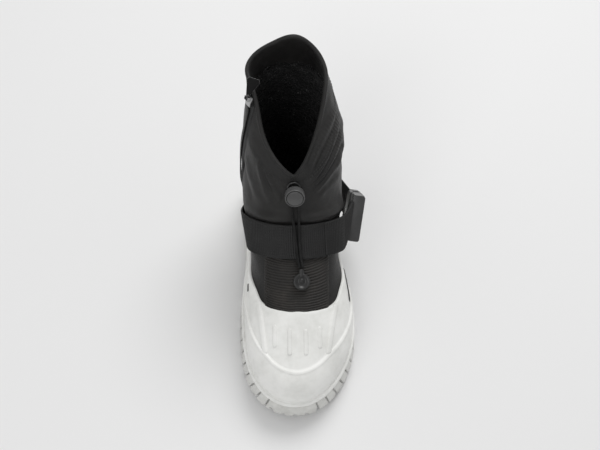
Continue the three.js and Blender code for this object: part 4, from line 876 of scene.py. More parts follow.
# %% Folds of the shaft
# Each fold: its line of (degrees, level), half width in mm, height in mm
FOLDS = [
    ([(112, 7.6), (88, 8.2), (66, 8.55), (44, 8.6), (28, 8.3)], 2.6, 1.9),
    ([(104, 7.3), (80, 7.75), (60, 7.9), (42, 7.8), (24, 7.55)], 2.1, 2.1),
    ([(96, 7.05), (76, 7.35), (56, 7.45), (38, 7.4), (20, 7.2)], 1.9, 1.9),
    ([(86, 6.7), (66, 6.95), (49, 7.1), (33, 7.05), (19, 6.85)], 2.1, 2.0),
    ([(72, 6.3), (56, 6.55), (40, 6.7), (24, 6.62)], 2.1, 1.6),
    ([(108, 7.45), (84, 7.98), (62, 8.22), (42, 8.2), (26, 7.95)], 1.5, -1.5),
    ([(100, 7.18), (78, 7.54), (58, 7.66), (40, 7.6), (22, 7.38)], 1.4, -1.7),
    ([(90, 6.88), (70, 7.15), (52, 7.28), (35, 7.22), (19, 7.02)], 1.4, -1.6),
    ([(-48, 8.0), (-41, 7.4), (-32, 6.8), (-18, 6.5)], 3.4, 2.0),
    ([(-36, 8.1), (-28, 7.5), (-18, 6.95), (-11, 6.8)], 2.3, 1.6),
    ([(-42, 7.9), (-34, 7.4), (-24, 6.85)], 2.0, -1.0),
    ([(-78, 7.0), (-60, 6.6), (-42, 6.35), (-24, 6.25)], 4.5, 1.2),
    ([(-84, 6.5), (-66, 6.3), (-46, 6.12)], 3.0, -1.1),
    ([(-150, 5.75), (-166, 5.6), (-180, 5.55), (-194, 5.6), (-212, 5.8)], 5.0, -1.8),
    ([(-146, 6.35), (-163, 6.2), (-180, 6.15), (-197, 6.2), (-216, 6.4)], 5.5, 1.6),
    ([(-140, 6.9), (-160, 6.75), (-180, 6.7), (-200, 6.8), (-222, 7.0)], 4.5, -1.1),
    ([(112, 5.3), (128, 5.7), (142, 6.3)], 4.0, 1.1),
    ([(104, 5.7), (118, 6.3), (126, 7.0)], 4.0, -0.9),
    ([(-128, 5.4), (-138, 5.9), (-146, 6.5)], 4.0, 1.0),
    ([(112, 6.95), (94, 6.9), (76, 6.85)], 4.5, 1.9),
    ([(108, 6.5), (90, 6.4), (72, 6.35)], 2.8, -1.6),
]
MM_PER_DEGREE = 0.78
MM_PER_LEVEL = 13.0
# Slack above the strap: its heights, and how far it reaches to the inner and outer side
FRONT_SLACK, SIDE_SLACK = 3.8, 3.0
SLACK_REACH = (math.radians(48), math.radians(88))
FLANK_DROP, FRONT_DROP = 8.0, 2.5
ZIP_DEGREES = -101


def fold_height(angle, level):
    """Height of all folds at places, from the distance to each fold's line."""
    here = np.stack((np.degrees(angle) * MM_PER_DEGREE, level * MM_PER_LEVEL), -1)
    total = np.zeros(len(here))
    for line, width, height in FOLDS:
        line = through(np.array(line, float), np.linspace(0, 1, 25)) * (MM_PER_DEGREE, MM_PER_LEVEL)
        # The angle has two readings past the back, so the line is tried one turn on as well
        for turn in (0, 360 * MM_PER_DEGREE):
            near = np.full(len(here), 1e9)
            share = np.zeros(len(here))
            for i, spot in enumerate(line + (turn, 0)):
                distance = np.hypot(*(here - spot).T)
                share = np.where(distance < near, i / 24, share)
                near = np.minimum(near, distance)
            ends = ease(np.minimum(share, 1 - share) * 4)
            total += height * ends * hump(near, 0, width)
    return total


def shaft_relief(angle, level):
    points = boot_point(angle, level)
    degrees = np.degrees(angle)
    above_strap = strap_measure(points) - strap_middle - STRAP_WIDTH / 2
    front = hump(angle, 0, np.where(angle < 0, *SLACK_REACH), 4)
    slack = FRONT_SLACK * hump(above_strap, 6.0, 5.0) * front
    slack += SIDE_SLACK * hump(above_strap, 1.5, 4) * hump(degrees, 84, 14)
    under_lock = -slack * 0.55 * hump(points[:, 0], 0, 9)
    wander = 0.55 * pebbled(points, 17.0, 3) + 0.22 * pebbled(points, 6.0, 11)
    rim = ease((COLLAR_LEVEL - level) / 0.25)
    clear = ease((above_strap + 1) / 4) + (np.abs(angle) > math.radians(75))
    zip_calm = 1 - 0.9 * hump(degrees, ZIP_DEGREES, 17, 4)
    folded = (fold_height(angle, level) + slack + under_lock) * np.clip(clear, 0, 1)
    lock_calm = 1 - 0.85 * hump(degrees, 0, 12) * hump(level, 7.35, 0.45)
    return (folded + wander * np.clip(0.25 + clear, 0, 1)) * rim * zip_calm * lock_calm


def slouch(points, angle, level):
    """Drop of the soft collar, in mm: its back comes to a peak and its front sinks under the cord."""
    turn = np.abs(np.degrees(np.arctan2(np.sin(angle), np.cos(angle))))
    flanks = FLANK_DROP * (1 - hump(points[:, 0], 0, 17)) * ease((turn - 95) / 45)
    return (flanks + FRONT_DROP * hump(turn, 0, 16)) * ease((level - 7.6) / 1.4)


# %% Shaft
# Share of the sheet, level, offset, rise above the rim
SHAFT_ROWS = np.array([
    (0.00, 0.4, -0.6, 0.0), (0.10, 3.0, 0.0, 0.0), (0.82, 8.9, 0.0, 0.0), (0.835, 9.0, 0.3, 0.0),
    (0.845, 9.0, 0.25, 0.7), (0.855, 9.0, -0.35, 1.5), (0.865, 9.0, -1.3, 2.0),
    (0.875, 9.0, -2.4, 1.9), (0.885, 9.0, -3.3, 1.3), (0.895, 9.0, -3.7, 0.4),
    (0.905, 8.95, -3.7, 0.0), (1.00, 7.3, -3.8, 0.0),
])


def shaft_place(across, along):
    angle = round_the_boot(across)
    share, level, offset, rise = SHAFT_ROWS.T
    level, offset, rise = (np.interp(along, share, column) for column in (level, offset, rise))
    outside = along < 0.83
    relief = np.where(outside, shaft_relief(angle, level), 0)
    facing = along > 0.895
    points = on_boot(angle, level)
    soft = 0.5 * pebbled(points, 14.0, 5) + 0.2 * pebbled(points, 5.0, 8)
    offset = offset + relief + np.where(facing, soft, 0)
    up = unit(boot_point(angle, np.full_like(level, 9.0)) - boot_point(angle, np.full_like(level, 8.9)))
    laid = on_boot(angle, level, offset) + up * (rise * (1 + 0.25 * soft))[:, None]
    laid[:, 2] -= slouch(points, angle, level)
    return laid


cloth_finish = new_finish(
    "shaft_cloth", [(0.15, grey(0.006, 0.03)), (0.55, grey(0.011, 0.05)), (0.95, grey(0.018, 0.06))],
    0.5, patch=30, grain=(2600, 0.00008), weave=(0.8, 0.8, 0.00012), rough_swing=0.2,
    Specular_IOR_Level=0.35, Sheen_Weight=0.04, Sheen_Roughness=0.4)
shaft = laid_piece("shaft", 300, 300, shaft_place, (285.0, 320.0))
dress(shaft, cloth_finish, instead_of=["upper"])

# %% [markdown]
# ## Fleece lining
# The fleece is a curly pile, not a smooth wall. Its sheet lies inside the shaft and is pushed about by
# noise at the size of a curl, so that it catches light in specks. Loose curls, each a short bent hair
# with a few faces, are sown over it, most of them close to the facing.

# %% Fleece
FLEECE_INSIDE, CLOTH_INSIDE = 3.4, 3.6
PILE_DEPTH, PILE_CURL = 1.7, 0.95
# Degrees from the front, level at which the fleece ends below the rim
FLEECE_TOP = [(0, 8.82), (22, 8.7), (45, 8.4), (70, 8.15), (110, 8.0), (140, 7.9), (180, 7.85)]


def fleece_level(angle, along):
    top = edge_level(FLEECE_TOP, angle)
    return 0.15 + (top - 0.15) * along


def fleece_place(across, along):
    angle = round_the_boot(across)
    level = fleece_level(angle, along)
    points = on_boot(angle, level, -CLOTH_INSIDE)
    curls = pebbled(points, 2.4, 21) + 0.7 * pebbled(points, 1.2, 33) + 0.8 * pebbled(points, 9.0, 2)
    pile = PILE_DEPTH + PILE_CURL * curls
    edge = ease((1 - along) / 0.03)
    laid = on_boot(angle, level, -FLEECE_INSIDE - pile * edge)
    laid[:, 2] -= slouch(points, angle, level)
    return laid


fleece_finish, tree, surface = blank_finish("fleece")
where = tree.nodes.new("ShaderNodeTexCoord")
fleck = tree.nodes.new("ShaderNodeTexVoronoi")
fleck.inputs["Scale"].default_value = 520
tree.links.new(where.outputs["Object"], fleck.inputs["Vector"])
patch = placed_group(tree, uneven_tone, where.outputs["Object"], Scale=130)
mixed = math_node(tree, "MULTIPLY", patch, math_node(tree, "SUBTRACT", 1.0, fleck.outputs["Distance"]))
tree.links.new(ramp(tree, mixed, [(0.15, grey(0.003)), (0.38, grey(0.008)), (0.55, grey(0.05)),
                                  (0.75, grey(0.3))]), surface.inputs["Base Color"])
curl_height = placed_group(tree, fine_grain, where.outputs["Object"], Scale=650)
tree.links.new(add_bump(tree, curl_height, 0.0012), surface.inputs["Normal"])
surface.inputs["Roughness"].default_value = 0.9
surface.inputs["Specular IOR Level"].default_value = 0.2
surface.inputs["Sheen Weight"].default_value = 0.08

lining = laid_piece("fleece_lining", 260, 230, fleece_place, (250.0, 200.0))
dress(lining, fleece_finish)

# %% Loose curls
random = np.random.default_rng(7)
CURL_COUNT, CURL_ROOT = 3200, 4.3
curls = bmesh.new()
curl_angle = random.uniform(-math.pi, math.pi, CURL_COUNT)
curl_along = 1 - np.abs(random.normal(0, 0.16, CURL_COUNT)).clip(0, 0.6)
curl_level = fleece_level(curl_angle, curl_along) + random.uniform(-0.02, 0.05, CURL_COUNT)
roots = on_boot(curl_angle, curl_level, -CURL_ROOT)
roots[:, 2] -= slouch(roots, curl_angle, curl_level)
inward = -boot_normal(curl_angle, curl_level)
for root, normal in zip(roots, inward):
    radius, turn, lean = random.uniform(0.45, 0.95), random.uniform(0, 6.3), random.uniform(-0.6, 0.6)
    axis = Vector(normal)
    basis = axis.to_track_quat("Z", "Y").to_matrix().to_4x4()
    where_to = Matrix.Translation(Vector(root) * MM) @ basis @ Matrix.Rotation(turn, 4, "Z")
    where_to = where_to @ Matrix.Rotation(lean, 4, "X")
    ring = []
    for step in range(5):
        bend = math.pi * step / 4
        point = Vector((radius * math.cos(bend), 0, 0.2 + 1.2 * radius * math.sin(bend))) * MM
        wide = Vector((0, 0.16 * MM, 0))
        ring.append((curls.verts.new(where_to @ (point - wide)), curls.verts.new(where_to @ (point + wide))))
    for (a, b), (c, d) in zip(ring, ring[1:]):
        curls.faces.new((a, b, d, c))
bmesh.ops.solidify(curls, geom=curls.faces, thickness=0.22 * MM)
loose_curls = finished(curls, "fleece_curls")
curl_finish = new_finish("fleece_hair", [(0.35, grey(0.01)), (0.75, grey(0.34))], 0.7, patch=300,
                         grain=None, Specular_IOR_Level=0.2)
dress(loose_curls, curl_finish)

# %% Insole
INSOLE_INSET, INSOLE_CUP = 3.5 + 1.6, 4.0


def insole_place(across, along):
    angle = math.pi * np.clip(along, 0.004, 0.996)
    left, right = (outline_point(side * angle, 0 * angle - INSOLE_INSET) for side in (-1, 1))
    point = left + (right - left) * across[:, None]
    middle = 1 - (2 * across - 1) ** 2
    cup = INSOLE_CUP + 2.0 * (1 - middle) - 0.8 * middle
    edge = np.where((across == 0) | (across == 1), -2.0, 0)
    curl = 0.5 * pebbled(point, 3.0, 40)
    point[:, 2] = sole_top(point[:, 1]) + FIT + cup + edge + curl
    return point


footbed = laid_piece("footbed", 50, 130, insole_place, (80.0, 260.0))
dress(footbed, fleece_finish, instead_of=["insole"])

# %% [markdown]
# ## Ribbed panel
# The panel on the vamp is a stretch knit with ribs about 2 mm apart that run from side to side. The
# ribs are real relief, since they show as lines of light in the photograph. Its two long edges are
# turned down and sewn.

# %% Ribbed panel
PANEL_SIDES = (-0.23 * SOLE_WIDTH, 0.31 * SOLE_WIDTH)
RIB_PITCH = 2.05
PANEL_LENGTH = 62.0
PANEL_OFFSET = 0.75
PANEL_THICKNESS = 1.0


def panel_spot(across, along):
    """Angle and level of a place of the panel."""
    x = PANEL_SIDES[0] + (PANEL_SIDES[1] - PANEL_SIDES[0]) * across
    angle = angle_across(x, 4.0)
    for _ in range(4):
        angle = angle_across(x, edge_level(SHELL_EDGE, angle) - 0.1)
    low = edge_level(SHELL_EDGE, angle) - 0.1
    high = level_where(0.0, strap_measure, strap_middle)
    level = low + (high - low) * along
    return angle_across(x, level), level


def panel_place(across, along):
    angle, level = panel_spot(across, along)
    edge = ease(np.minimum(across, 1 - across) / 0.03)
    rib = np.abs(np.sin(math.pi * along * PANEL_LENGTH / RIB_PITCH)) ** 0.7
    points = boot_point(angle, level)
    soft = 0.22 * pebbled(points, 9.0, 14)
    return on_boot(angle, level, 0.15 + edge * (PANEL_OFFSET - 0.15 + 0.8 * rib + soft))


panel_finish = new_finish(
    "rib_knit", [(0.2, grey(0.009, 0.1)), (0.6, grey(0.017, 0.12)), (0.95, grey(0.03, 0.15))],
    0.55, patch=60, grain=(2400, 0.00006), weave=(0.7, 1.02, 0.0001), Specular_IOR_Level=0.35)
panel = laid_piece("ribbed_panel", 36, 300, panel_place, (58.0, PANEL_LENGTH))
dress(panel, panel_finish, instead_of=["vamp_panel"])

# %% [markdown]
# ## Webbing
# Both straps are flat woven webbing with a rounded edge and low ribs across the width. A strap is a
# table of rows: rows on the boot, a free run that leaves the cloth smoothly, the turn round the
# buckle's bar and the short return. One grid is wrapped round the section and follows that table.

# %% Buckle axes and bars
BUCKLE_SLOPE = math.radians(48)
BUCKLE_ROLL = math.radians(8)
BAR_RADIUS = 1.7
END_BAR = 51.7
STRAP_THICKNESS = 1.5
LOOP_RADIUS = BAR_RADIUS + FIT + STRAP_THICKNESS / 2
crossing = boot_point(0.0, crossing_level)
BAR_OUT, BAR_BACK, BAR_DROP = 16, 44, 25
bar_place = np.array([SHAFT_HALF + BAR_OUT, crossing[1] + BAR_BACK, crossing[2] - BAR_DROP])
strap_run = np.array([0, math.cos(BUCKLE_SLOPE), -math.sin(BUCKLE_SLOPE)])
flat_across = np.array([0, math.sin(BUCKLE_SLOPE), math.cos(BUCKLE_SLOPE)])
flat_out = np.array([1.0, 0, 0])
buckle_across = flat_across * math.cos(BUCKLE_ROLL) + flat_out * math.sin(BUCKLE_ROLL)
buckle_out = flat_out * math.cos(BUCKLE_ROLL) - flat_across * math.sin(BUCKLE_ROLL)


def buckle_place(along, across, out):
    along, across, out = (np.asarray(value, float)[..., None] for value in (along, across, out))
    return bar_place + along * strap_run + across * buckle_across + out * buckle_out


def end_bar_place(along, across, out):
    return buckle_place(END_BAR - np.asarray(along), across, out)


# %% Rows of a strap
RETURN_LENGTH, RETURN_SPREAD = 12.0, 2.5
WEB_RIB, WEB_RIB_HEIGHT = 2.0, 0.26
# Second layer of the instep strap: its thickness, and the sideways place where it starts
SECOND_LAYER, DOUBLED_FROM = 1.1, 28.0


def turn_round(start, end, steps=14):
    """Places (along, out) round a bar: 0 degrees is inside, 90 beyond it, 180 outside."""
    return [(math.sin(turn) * LOOP_RADIUS, -math.cos(turn) * LOOP_RADIUS)
            for turn in np.radians(np.linspace(start, end, steps + 1))]


def looped(surface, bar, path):
    """Rows of a webbing: those on the boot, a free run, and a path of (along, out) round a bar."""
    shares = np.linspace(-0.5, 0.5, surface.shape[1]) * STRAP_WIDTH
    along, out = (np.array(values)[:, None] + 0 * shares for values in zip(*path))
    ring = bar(along, shares + 0 * along, out)
    start = ring[0]
    last, before = surface[-1], surface[-2]
    middle = len(shares) // 2
    reach = np.linalg.norm(start[middle] - last[middle])
    leave = unit(last - before) * reach
    arrive = (bar(1, 0, 0) - bar(0, 0, 0)) * reach * 0.8
    s = np.linspace(0, 1, 18)[1:-1, None, None]
    return np.concatenate((surface, cubic(last, start, leave, arrive, s), ring))


def webbing(name, rows, doubled=(0.0, 0.0)):
    """A flat woven band along rows of middle points, with a second layer between two lengths."""
    middle = rows[:, rows.shape[1] // 2]
    travelled = run_along(middle)
    steps = int(travelled[-1] / (WEB_RIB / 4))
    shares = np.interp(np.linspace(0, travelled[-1], steps + 1), travelled,
                       np.linspace(0, 1, len(rows)))
    rows = through(rows, shares)
    side = unit(np.gradient(rows, axis=1))
    normal = unit(np.cross(side, np.gradient(rows, axis=0)))
    last = rows.shape[1] - 1
    flat, bend = np.arange(last + 1), np.radians([60, 30, 0, -30, -60])
    column = np.concatenate((flat, 0 * bend + last, flat[::-1], 0 * bend)).astype(int)
    shift = np.concatenate((0 * flat, np.cos(bend), 0 * flat, -np.cos(bend))) * STRAP_THICKNESS / 2
    rise = np.concatenate((0 * flat + 1, np.sin(bend), 0 * flat - 1, -np.sin(bend)))
    ribs = WEB_RIB_HEIGHT * np.cos(math.pi * np.arange(steps + 1) / 2)
    run = np.linspace(0, travelled[-1], steps + 1)
    layer = np.where((run > doubled[0]) & (run < doubled[1]), SECOND_LAYER, 0.0)

    def place(across, along):
        k = np.rint(across * len(column)).astype(int) % len(column)
        r = np.rint(along * steps).astype(int)
        thick = STRAP_THICKNESS / 2 + np.where(np.abs(rise[k]) == 1, ribs[r], 0)
        thick = thick + np.where(rise[k] < 0, layer[r], 0)
        return (rows[r, column[k]] + side[r, column[k]] * shift[k][:, None]
                + normal[r, column[k]] * (rise[k] * thick)[:, None])

    return laid_piece(name, len(column), steps, place, (2 * STRAP_WIDTH, float(travelled[-1])),
                      weld=0.004, cap=len(column))


# %% Instep strap
STRAP_COLUMNS, STRAP_LINES = 48, 13
STRAP_BASE = FIT + PANEL_THICKNESS + FIT + STRAP_THICKNESS / 2 + 0.2
STRAP_LEAVES, STRAP_STAND = math.radians(58), 3.0
strap_lines = strap_middle + np.linspace(-0.5, 0.5, STRAP_LINES) * STRAP_WIDTH


def clear_of_shell(degrees):
    """Whether the strap's lines, so far to the inner side, still lie above the shell's edge."""
    turn = -np.radians(degrees)
    return level_where(turn, strap_measure, strap_lines) - edge_level(SHELL_EDGE, turn, soften=0) > 0.08


low, _ = halved(np.full(STRAP_LINES, 40.0), np.full(STRAP_LINES, 90.0), clear_of_shell, 24)
share = np.linspace(0, 1, STRAP_COLUMNS)[:, None]
turn = -np.radians(low) + (STRAP_LEAVES + np.radians(low)) * share
strap_level = level_where(turn, strap_measure, strap_lines + 0 * turn)
strap_rows = on_boot(turn, strap_level, STRAP_BASE + STRAP_STAND * ease((share - 0.75) / 0.25) + 0 * turn)

web_finish = new_finish(
    "webbing", [(0.2, grey(0.006)), (0.6, grey(0.011)), (0.95, grey(0.018))], 0.5, patch=80,
    grain=(2600, 0.00006), weave=(0.9, 0.9, 0.00016), Specular_IOR_Level=0.35)
# The strap passes inside the plug's end wall, rises to the bar and turns round it
PLUG_HALF, END_WALL, STRAP_RISE = 5.5, -8.5, 35.0
wall_pass = PLUG_HALF + 0.5 + STRAP_THICKNESS / 2
rise_start = ((LOOP_RADIUS - wall_pass * math.cos(math.radians(STRAP_RISE)))
              / math.sin(math.radians(STRAP_RISE)))
instep_path = [(END_WALL - 1, -wall_pass), (END_WALL + 1.25, -wall_pass),
               (rise_start - 0.4, 0.1 - wall_pass), (rise_start + 1, 0.9 - wall_pass),
               *turn_round(STRAP_RISE, 250)]
instep_rows = looped(strap_rows, buckle_place, instep_path)
centre_line = instep_rows[:, instep_rows.shape[1] // 2]
line_travel = run_along(centre_line)
wall_row = len(instep_rows) - len(instep_path)
doubled_start = float(line_travel[np.argmax(centre_line[:, 0] > DOUBLED_FROM)])
instep_band = webbing("instep_band", instep_rows, (doubled_start, float(line_travel[wall_row]) - 1))
dress(instep_band, web_finish, instead_of=["instep_strap"])

# %% Heel strap
ANCHOR_DEGREES, ANCHOR_LEVELS = (156, 152, 148, 144), (0.35, 2.25)
anchor_turn = np.radians(ANCHOR_DEGREES)[:, None]
anchor_level = np.linspace(*ANCHOR_LEVELS, STRAP_LINES)[None, :]
anchor_rows = on_boot(anchor_turn + 0 * anchor_level, anchor_level + 0 * anchor_turn,
                      BUMPER_OUTSIDE + FIT + STRAP_THICKNESS / 2 + 0.4 + 0 * anchor_turn * anchor_level)
heel_path = [(-1, LOOP_RADIUS), *turn_round(180, 0),
             *[(-s * RETURN_LENGTH, -(LOOP_RADIUS + s * RETURN_SPREAD)) for s in (0.25, 0.5, 0.75, 1)]]
heel_band = webbing("heel_band", looped(anchor_rows, end_bar_place, heel_path))
dress(heel_band, web_finish, instead_of=["heel_strap"])

# %% [markdown]
# ## Buckle, slider and pull
# These are hard pieces with exact sizes, so their visual forms are copies of the solids. Each copy is
# merged, its flat faces are joined and its corners are then rounded, because no moulded or cast piece
# has a knife edge.

# %% Rounded copies
SHARP_ABOVE = math.radians(40)


def rounded_copy(node, name, radius, corner_slot=-1):
    """A solid's copy with rounded corners, which may have a material slot of their own."""
    shape = bmesh.new()
    shape.from_mesh(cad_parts[node].data)
    bmesh.ops.remove_doubles(shape, verts=shape.verts, dist=0.01 * MM)
    bmesh.ops.dissolve_limit(shape, angle_limit=math.radians(1), verts=shape.verts, edges=shape.edges)
    bmesh.ops.recalc_face_normals(shape, faces=shape.faces)
    corners = [edge for edge in shape.edges
               if len(edge.link_faces) == 2 and edge.calc_face_angle(0) > SHARP_ABOVE]
    bmesh.ops.bevel(shape, geom=corners, offset=radius * MM, segments=2, profile=0.5,
                    affect="EDGES", material=corner_slot, clamp_overlap=True)
    return finished(shape, name, sharp_above=50)


buckle_finish = new_finish(
    "buckle_plastic", [(0.2, grey(0.034)), (0.9, grey(0.048))], 0.36, patch=60,
    grain=(1800, 0.00003), rough_swing=0.12)
for half in ("plug", "socket"):
    dress(rounded_copy("buckle_" + half, "side_release_" + half, 0.7), buckle_finish,
          instead_of=["buckle_" + half])

metal_finish = new_finish(
    "zip_metal", [(0.2, grey(0.34)), (0.9, grey(0.5))], 0.28, patch=120, grain=None, Metallic=1.0)
teeth_finish = new_finish(
    "zip_teeth_metal", [(0.2, grey(0.03)), (0.9, grey(0.07))], 0.35, patch=400, grain=None, Metallic=1.0)
dress(rounded_copy("zip_slider", "slider", 0.35), metal_finish, instead_of=["zip_slider"])
pull_finish = new_finish(
    "pull_plastic", [(0.2, grey(0.005)), (0.9, grey(0.009))], 0.6, patch=150, grain=(1500, 0.00004),
    Specular_IOR_Level=0.15)
pull_tab = dress(rounded_copy("zip_pull", "pull_tab", 0.75, corner_slot=1), pull_finish,
                 body="zip_pull", instead_of=["zip_pull"])
# The pull's rounded rim gets a light grey, a painted highlight on its edge
pull_tab.data.materials.append(new_finish(
    "pull_edge_painted_highlight", [(0.2, grey(0.3)), (0.9, grey(0.4))], 0.4, patch=150, grain=None))
print("pull faces on its rim:", sum(face.material_index for face in pull_tab.data.polygons))

# %% [markdown]
# ## Turned pieces
# The lock, its button, the grommet and the cord end are round, so each is a profile turned about its
# own axis. A profile is a list of radius and height.

# %% Turning
def axes_at(origin, side, up, out):
    """Matrix from a piece's own millimetres to the scene's metres."""
    rows = np.array([side, up, out, origin]).T * MM
    return Matrix([*[[*row] for row in rows], [0, 0, 0, 1]])


def front_axes(level, offset, x=0.0):
    out = unit(boot_normal(0.0, level) * (0, 1, 1))
    side = np.array([1.0, 0, 0])
    return axes_at(boot_point(0.0, level) + out * offset + side * x, side, np.cross(out, side), out)


def turned(shape, profile, where, sides=56, dent=None):
    """Adds a profile turned about the matrix's z axis; dent may lower points by (x, y)."""
    profile = np.array(profile, float)

    def place(across, along):
        k = np.rint(along * (len(profile) - 1)).astype(int)
        turn = 2 * math.pi * across
        x, y, z = profile[k, 0] * np.cos(turn), profile[k, 0] * np.sin(turn), profile[k, 1]
        if dent:
            z = z - dent(x, y) * (z > 0)
        own = np.stack((x, y, z, 1 + 0 * z), -1)
        return (own @ np.array(where).T)[:, :3] / MM

    made = lay_grid(shape, sides, len(profile) - 1, place)
    bmesh.ops.remove_doubles(shape, verts=made, dist=0.005 * MM)


def corner(radius_at, height_at, radius, start, end, steps=4):
    """Points of a rounded corner of a profile, from one angle to another in degrees."""
    return [(radius_at + radius * math.cos(math.radians(a)), height_at + radius * math.sin(math.radians(a)))
            for a in np.linspace(start, end, steps + 1)]


def turned_piece(name, profiles, material, node, body="boot", sharp=50):
    """A piece of one or more turned profiles, each given as the arguments of turned."""
    shape = bmesh.new()
    for profile in profiles:
        turned(shape, *profile)
    bmesh.ops.recalc_face_normals(shape, faces=shape.faces)
    return dress(finished(shape, name, sharp), material, body=body, instead_of=[node])


# %% Lock, button and grommet
LOCK_RADIUS, LOCK_FLOOR, BUTTON_RADIUS = 8.8, 4.2, 7.2
LOCK_LEVEL, LOCK_STAND, LOCK_SIDE, GROMMET_LEVEL = 7.22, 2.7, 0.9, 7.68
lock_axes = front_axes(LOCK_LEVEL, LOCK_STAND, LOCK_SIDE)
grey_finish = new_finish(
    "grey_plastic", [(0.15, grey(0.06)), (0.55, grey(0.075)), (0.95, grey(0.09))], 0.32, patch=90,
    grain=(1700, 0.00003), rough_swing=0.1)
end_finish = new_finish(
    "cord_end_plastic", [(0.15, grey(0.012)), (0.95, grey(0.022))], 0.4, patch=90, grain=None,
    rough_swing=0.08)
barrel = [(0, 0), (LOCK_RADIUS - 1.2, 0), *corner(LOCK_RADIUS - 1.2, 1.2, 1.2, -80, 0),
          (LOCK_RADIUS, 3.0), (LOCK_RADIUS - 0.25, 3.2), (LOCK_RADIUS - 0.25, 3.6), (LOCK_RADIUS, 3.8),
          (LOCK_RADIUS, 7.2), *corner(LOCK_RADIUS - 0.65, 7.35, 0.65, 15, 165),
          (BUTTON_RADIUS + FIT, 7.0), (BUTTON_RADIUS + FIT, LOCK_FLOOR), (0, LOCK_FLOOR)]
cap = [(0, 6.5), (BUTTON_RADIUS, 6.5), (BUTTON_RADIUS, 7.6),
       *corner(BUTTON_RADIUS - 0.7, 7.7, 0.7, 0, 80), (5.4, 8.62), (4.0, 8.78), (2.4, 8.86), (0, 8.9)]
turned_piece("lock_barrel", [(barrel, lock_axes)], grey_finish, "cord_lock_body")
turned_piece("lock_cap", [(cap, lock_axes)], grey_finish, "cord_lock_button",
             body="lock_button")

dark_metal = new_finish("grommet_metal", [(0.2, grey(0.05)), (0.9, grey(0.09))], 0.28, patch=120,
                        grain=None, Metallic=1.0)
eyelet = [(3.2, 0.2), (6.0, 0.2), (6.0, 0.55), *corner(5.2, 0.6, 0.8, 10, 80), (4.9, 1.55),
          *corner(4.1, 0.7, 0.85, 80, 170), (3.2, 0.6), (3.2, 0.2)]
turned_piece("grommet_ring", [(eyelet, front_axes(GROMMET_LEVEL, FIT))], dark_metal,
             "grommet", sharp=60)

# %% Cord end
CORD_END_RADIUS, CORD_END_HALF, CORD_END_NECK = 7.5, 2.2, 11.2
CORD_END_SIDE, CORD_END_BACK = 7.7, 93.6
disc_angle, disc_level = on_vamp(CORD_END_SIDE, CORD_END_BACK - TOE_REACH)
disc_out = boot_normal(disc_angle, disc_level)
disc_base = on_boot(disc_angle, disc_level, FIT + PANEL_THICKNESS + FIT + 0.4 + CORD_END_HALF)
ends = [np.array([x, along - TOE_REACH, z])
        for x, along, z in (MEDIAL_STRAND[-1], LATERAL_STRAND[-1])]
disc_up = unit((ends[0] + ends[1]) / 2 - disc_base)
disc_side = unit(np.cross(disc_up, disc_out))
disc_out = np.cross(disc_side, disc_up)
disc_axes = axes_at(disc_base, disc_side, disc_up, disc_out)


def disc_dent(x, y):
    dish = 1.7 * np.exp(-((x / 4.9) ** 2 + ((y + 0.3) / 4.9) ** 2) ** 3)
    bulb = 1.5 * np.exp(-((x / 2.3) ** 2 + ((y - 0.6) / 2.3) ** 2) ** 1.5)
    return dish - bulb


rim = CORD_END_RADIUS - 1.2
disc = [(0, -CORD_END_HALF), (rim, -CORD_END_HALF), *corner(rim, -1.0, 1.2, -80, -10),
        (CORD_END_RADIUS, 0.8), *corner(rim, 1.0, 1.2, 10, 85),
        *[(r, CORD_END_HALF) for r in np.linspace(6.0, 0, 16)]]
neck = [(0, 2.6), *corner(0, 5.4, 2.6, -80, 0, 8), (2.3, 8.0), (2.2, 10.4),
        *corner(1.6, 10.6, 0.6, 0, 80), (0, CORD_END_NECK)]
neck_turn = Matrix(((1, 0, 0, 0), (0, 0, 1, 0), (0, -1, 0, 0), (0, 0, 0, 1)))
cord_end_profiles = [(disc, disc_axes, 72, disc_dent), (neck, disc_axes @ neck_turn, 28)]
cord_end = turned_piece("cord_button", cord_end_profiles, end_finish, "cord_end")

# %% [markdown]
# ## Zip
# The tape is a woven sheet that follows the zip line, with the chain on top. The teeth are made one by
# one, each a small rounded block that stands across the middle from its own side, so that left and
# right teeth mesh.

# %% Zip tape
ZIP_PLACES, ZIP_ALONG = [4.5, 7.5, 9.0], [0.69, 0.705, 0.755]
ZIP_LOW, ZIP_HIGH, ZIP_TAPE_WIDTH = 4.5, 8.9, 20.0
TAPE_OUTSIDE = FIT + 0.5
CHAIN_INSIDE = TAPE_OUTSIDE + FIT
SLIDER_LENGTH = 9.0


def zip_place(level, across, offset):
    level, across = matched(level, across)
    angle = -angle_at_length(eased_between(level, ZIP_PLACES, ZIP_ALONG) * SOLE_LENGTH, level)
    step = 0.01
    reach = boot_point(angle + step, level) - boot_point(angle - step, level)
    speed = np.linalg.norm(reach, axis=-1) / (2 * step)
    return on_boot(angle - across / speed, level, offset)


def tape_place(across, along):
    level = ZIP_LOW + (ZIP_HIGH - ZIP_LOW) * along
    edge = ease(np.minimum(across, 1 - across) / 0.05)
    return zip_place(level, (across - 0.5) * ZIP_TAPE_WIDTH, 0.1 + (TAPE_OUTSIDE - 0.1) * edge)


tape_finish = new_finish("zip_cloth", [(0.2, grey(0.012)), (0.9, grey(0.028))], 0.7, patch=90,
                         grain=None, weave=(0.7, 1.2, 0.00018))
zip_length = float(run_along(zip_place(np.linspace(ZIP_LOW, ZIP_HIGH, 60), 0.0, 0.0))[-1])
dress(laid_piece("zip_tape_cloth", 28, 150, tape_place, (ZIP_TAPE_WIDTH, zip_length)), tape_finish,
      instead_of=["zip_tape"])

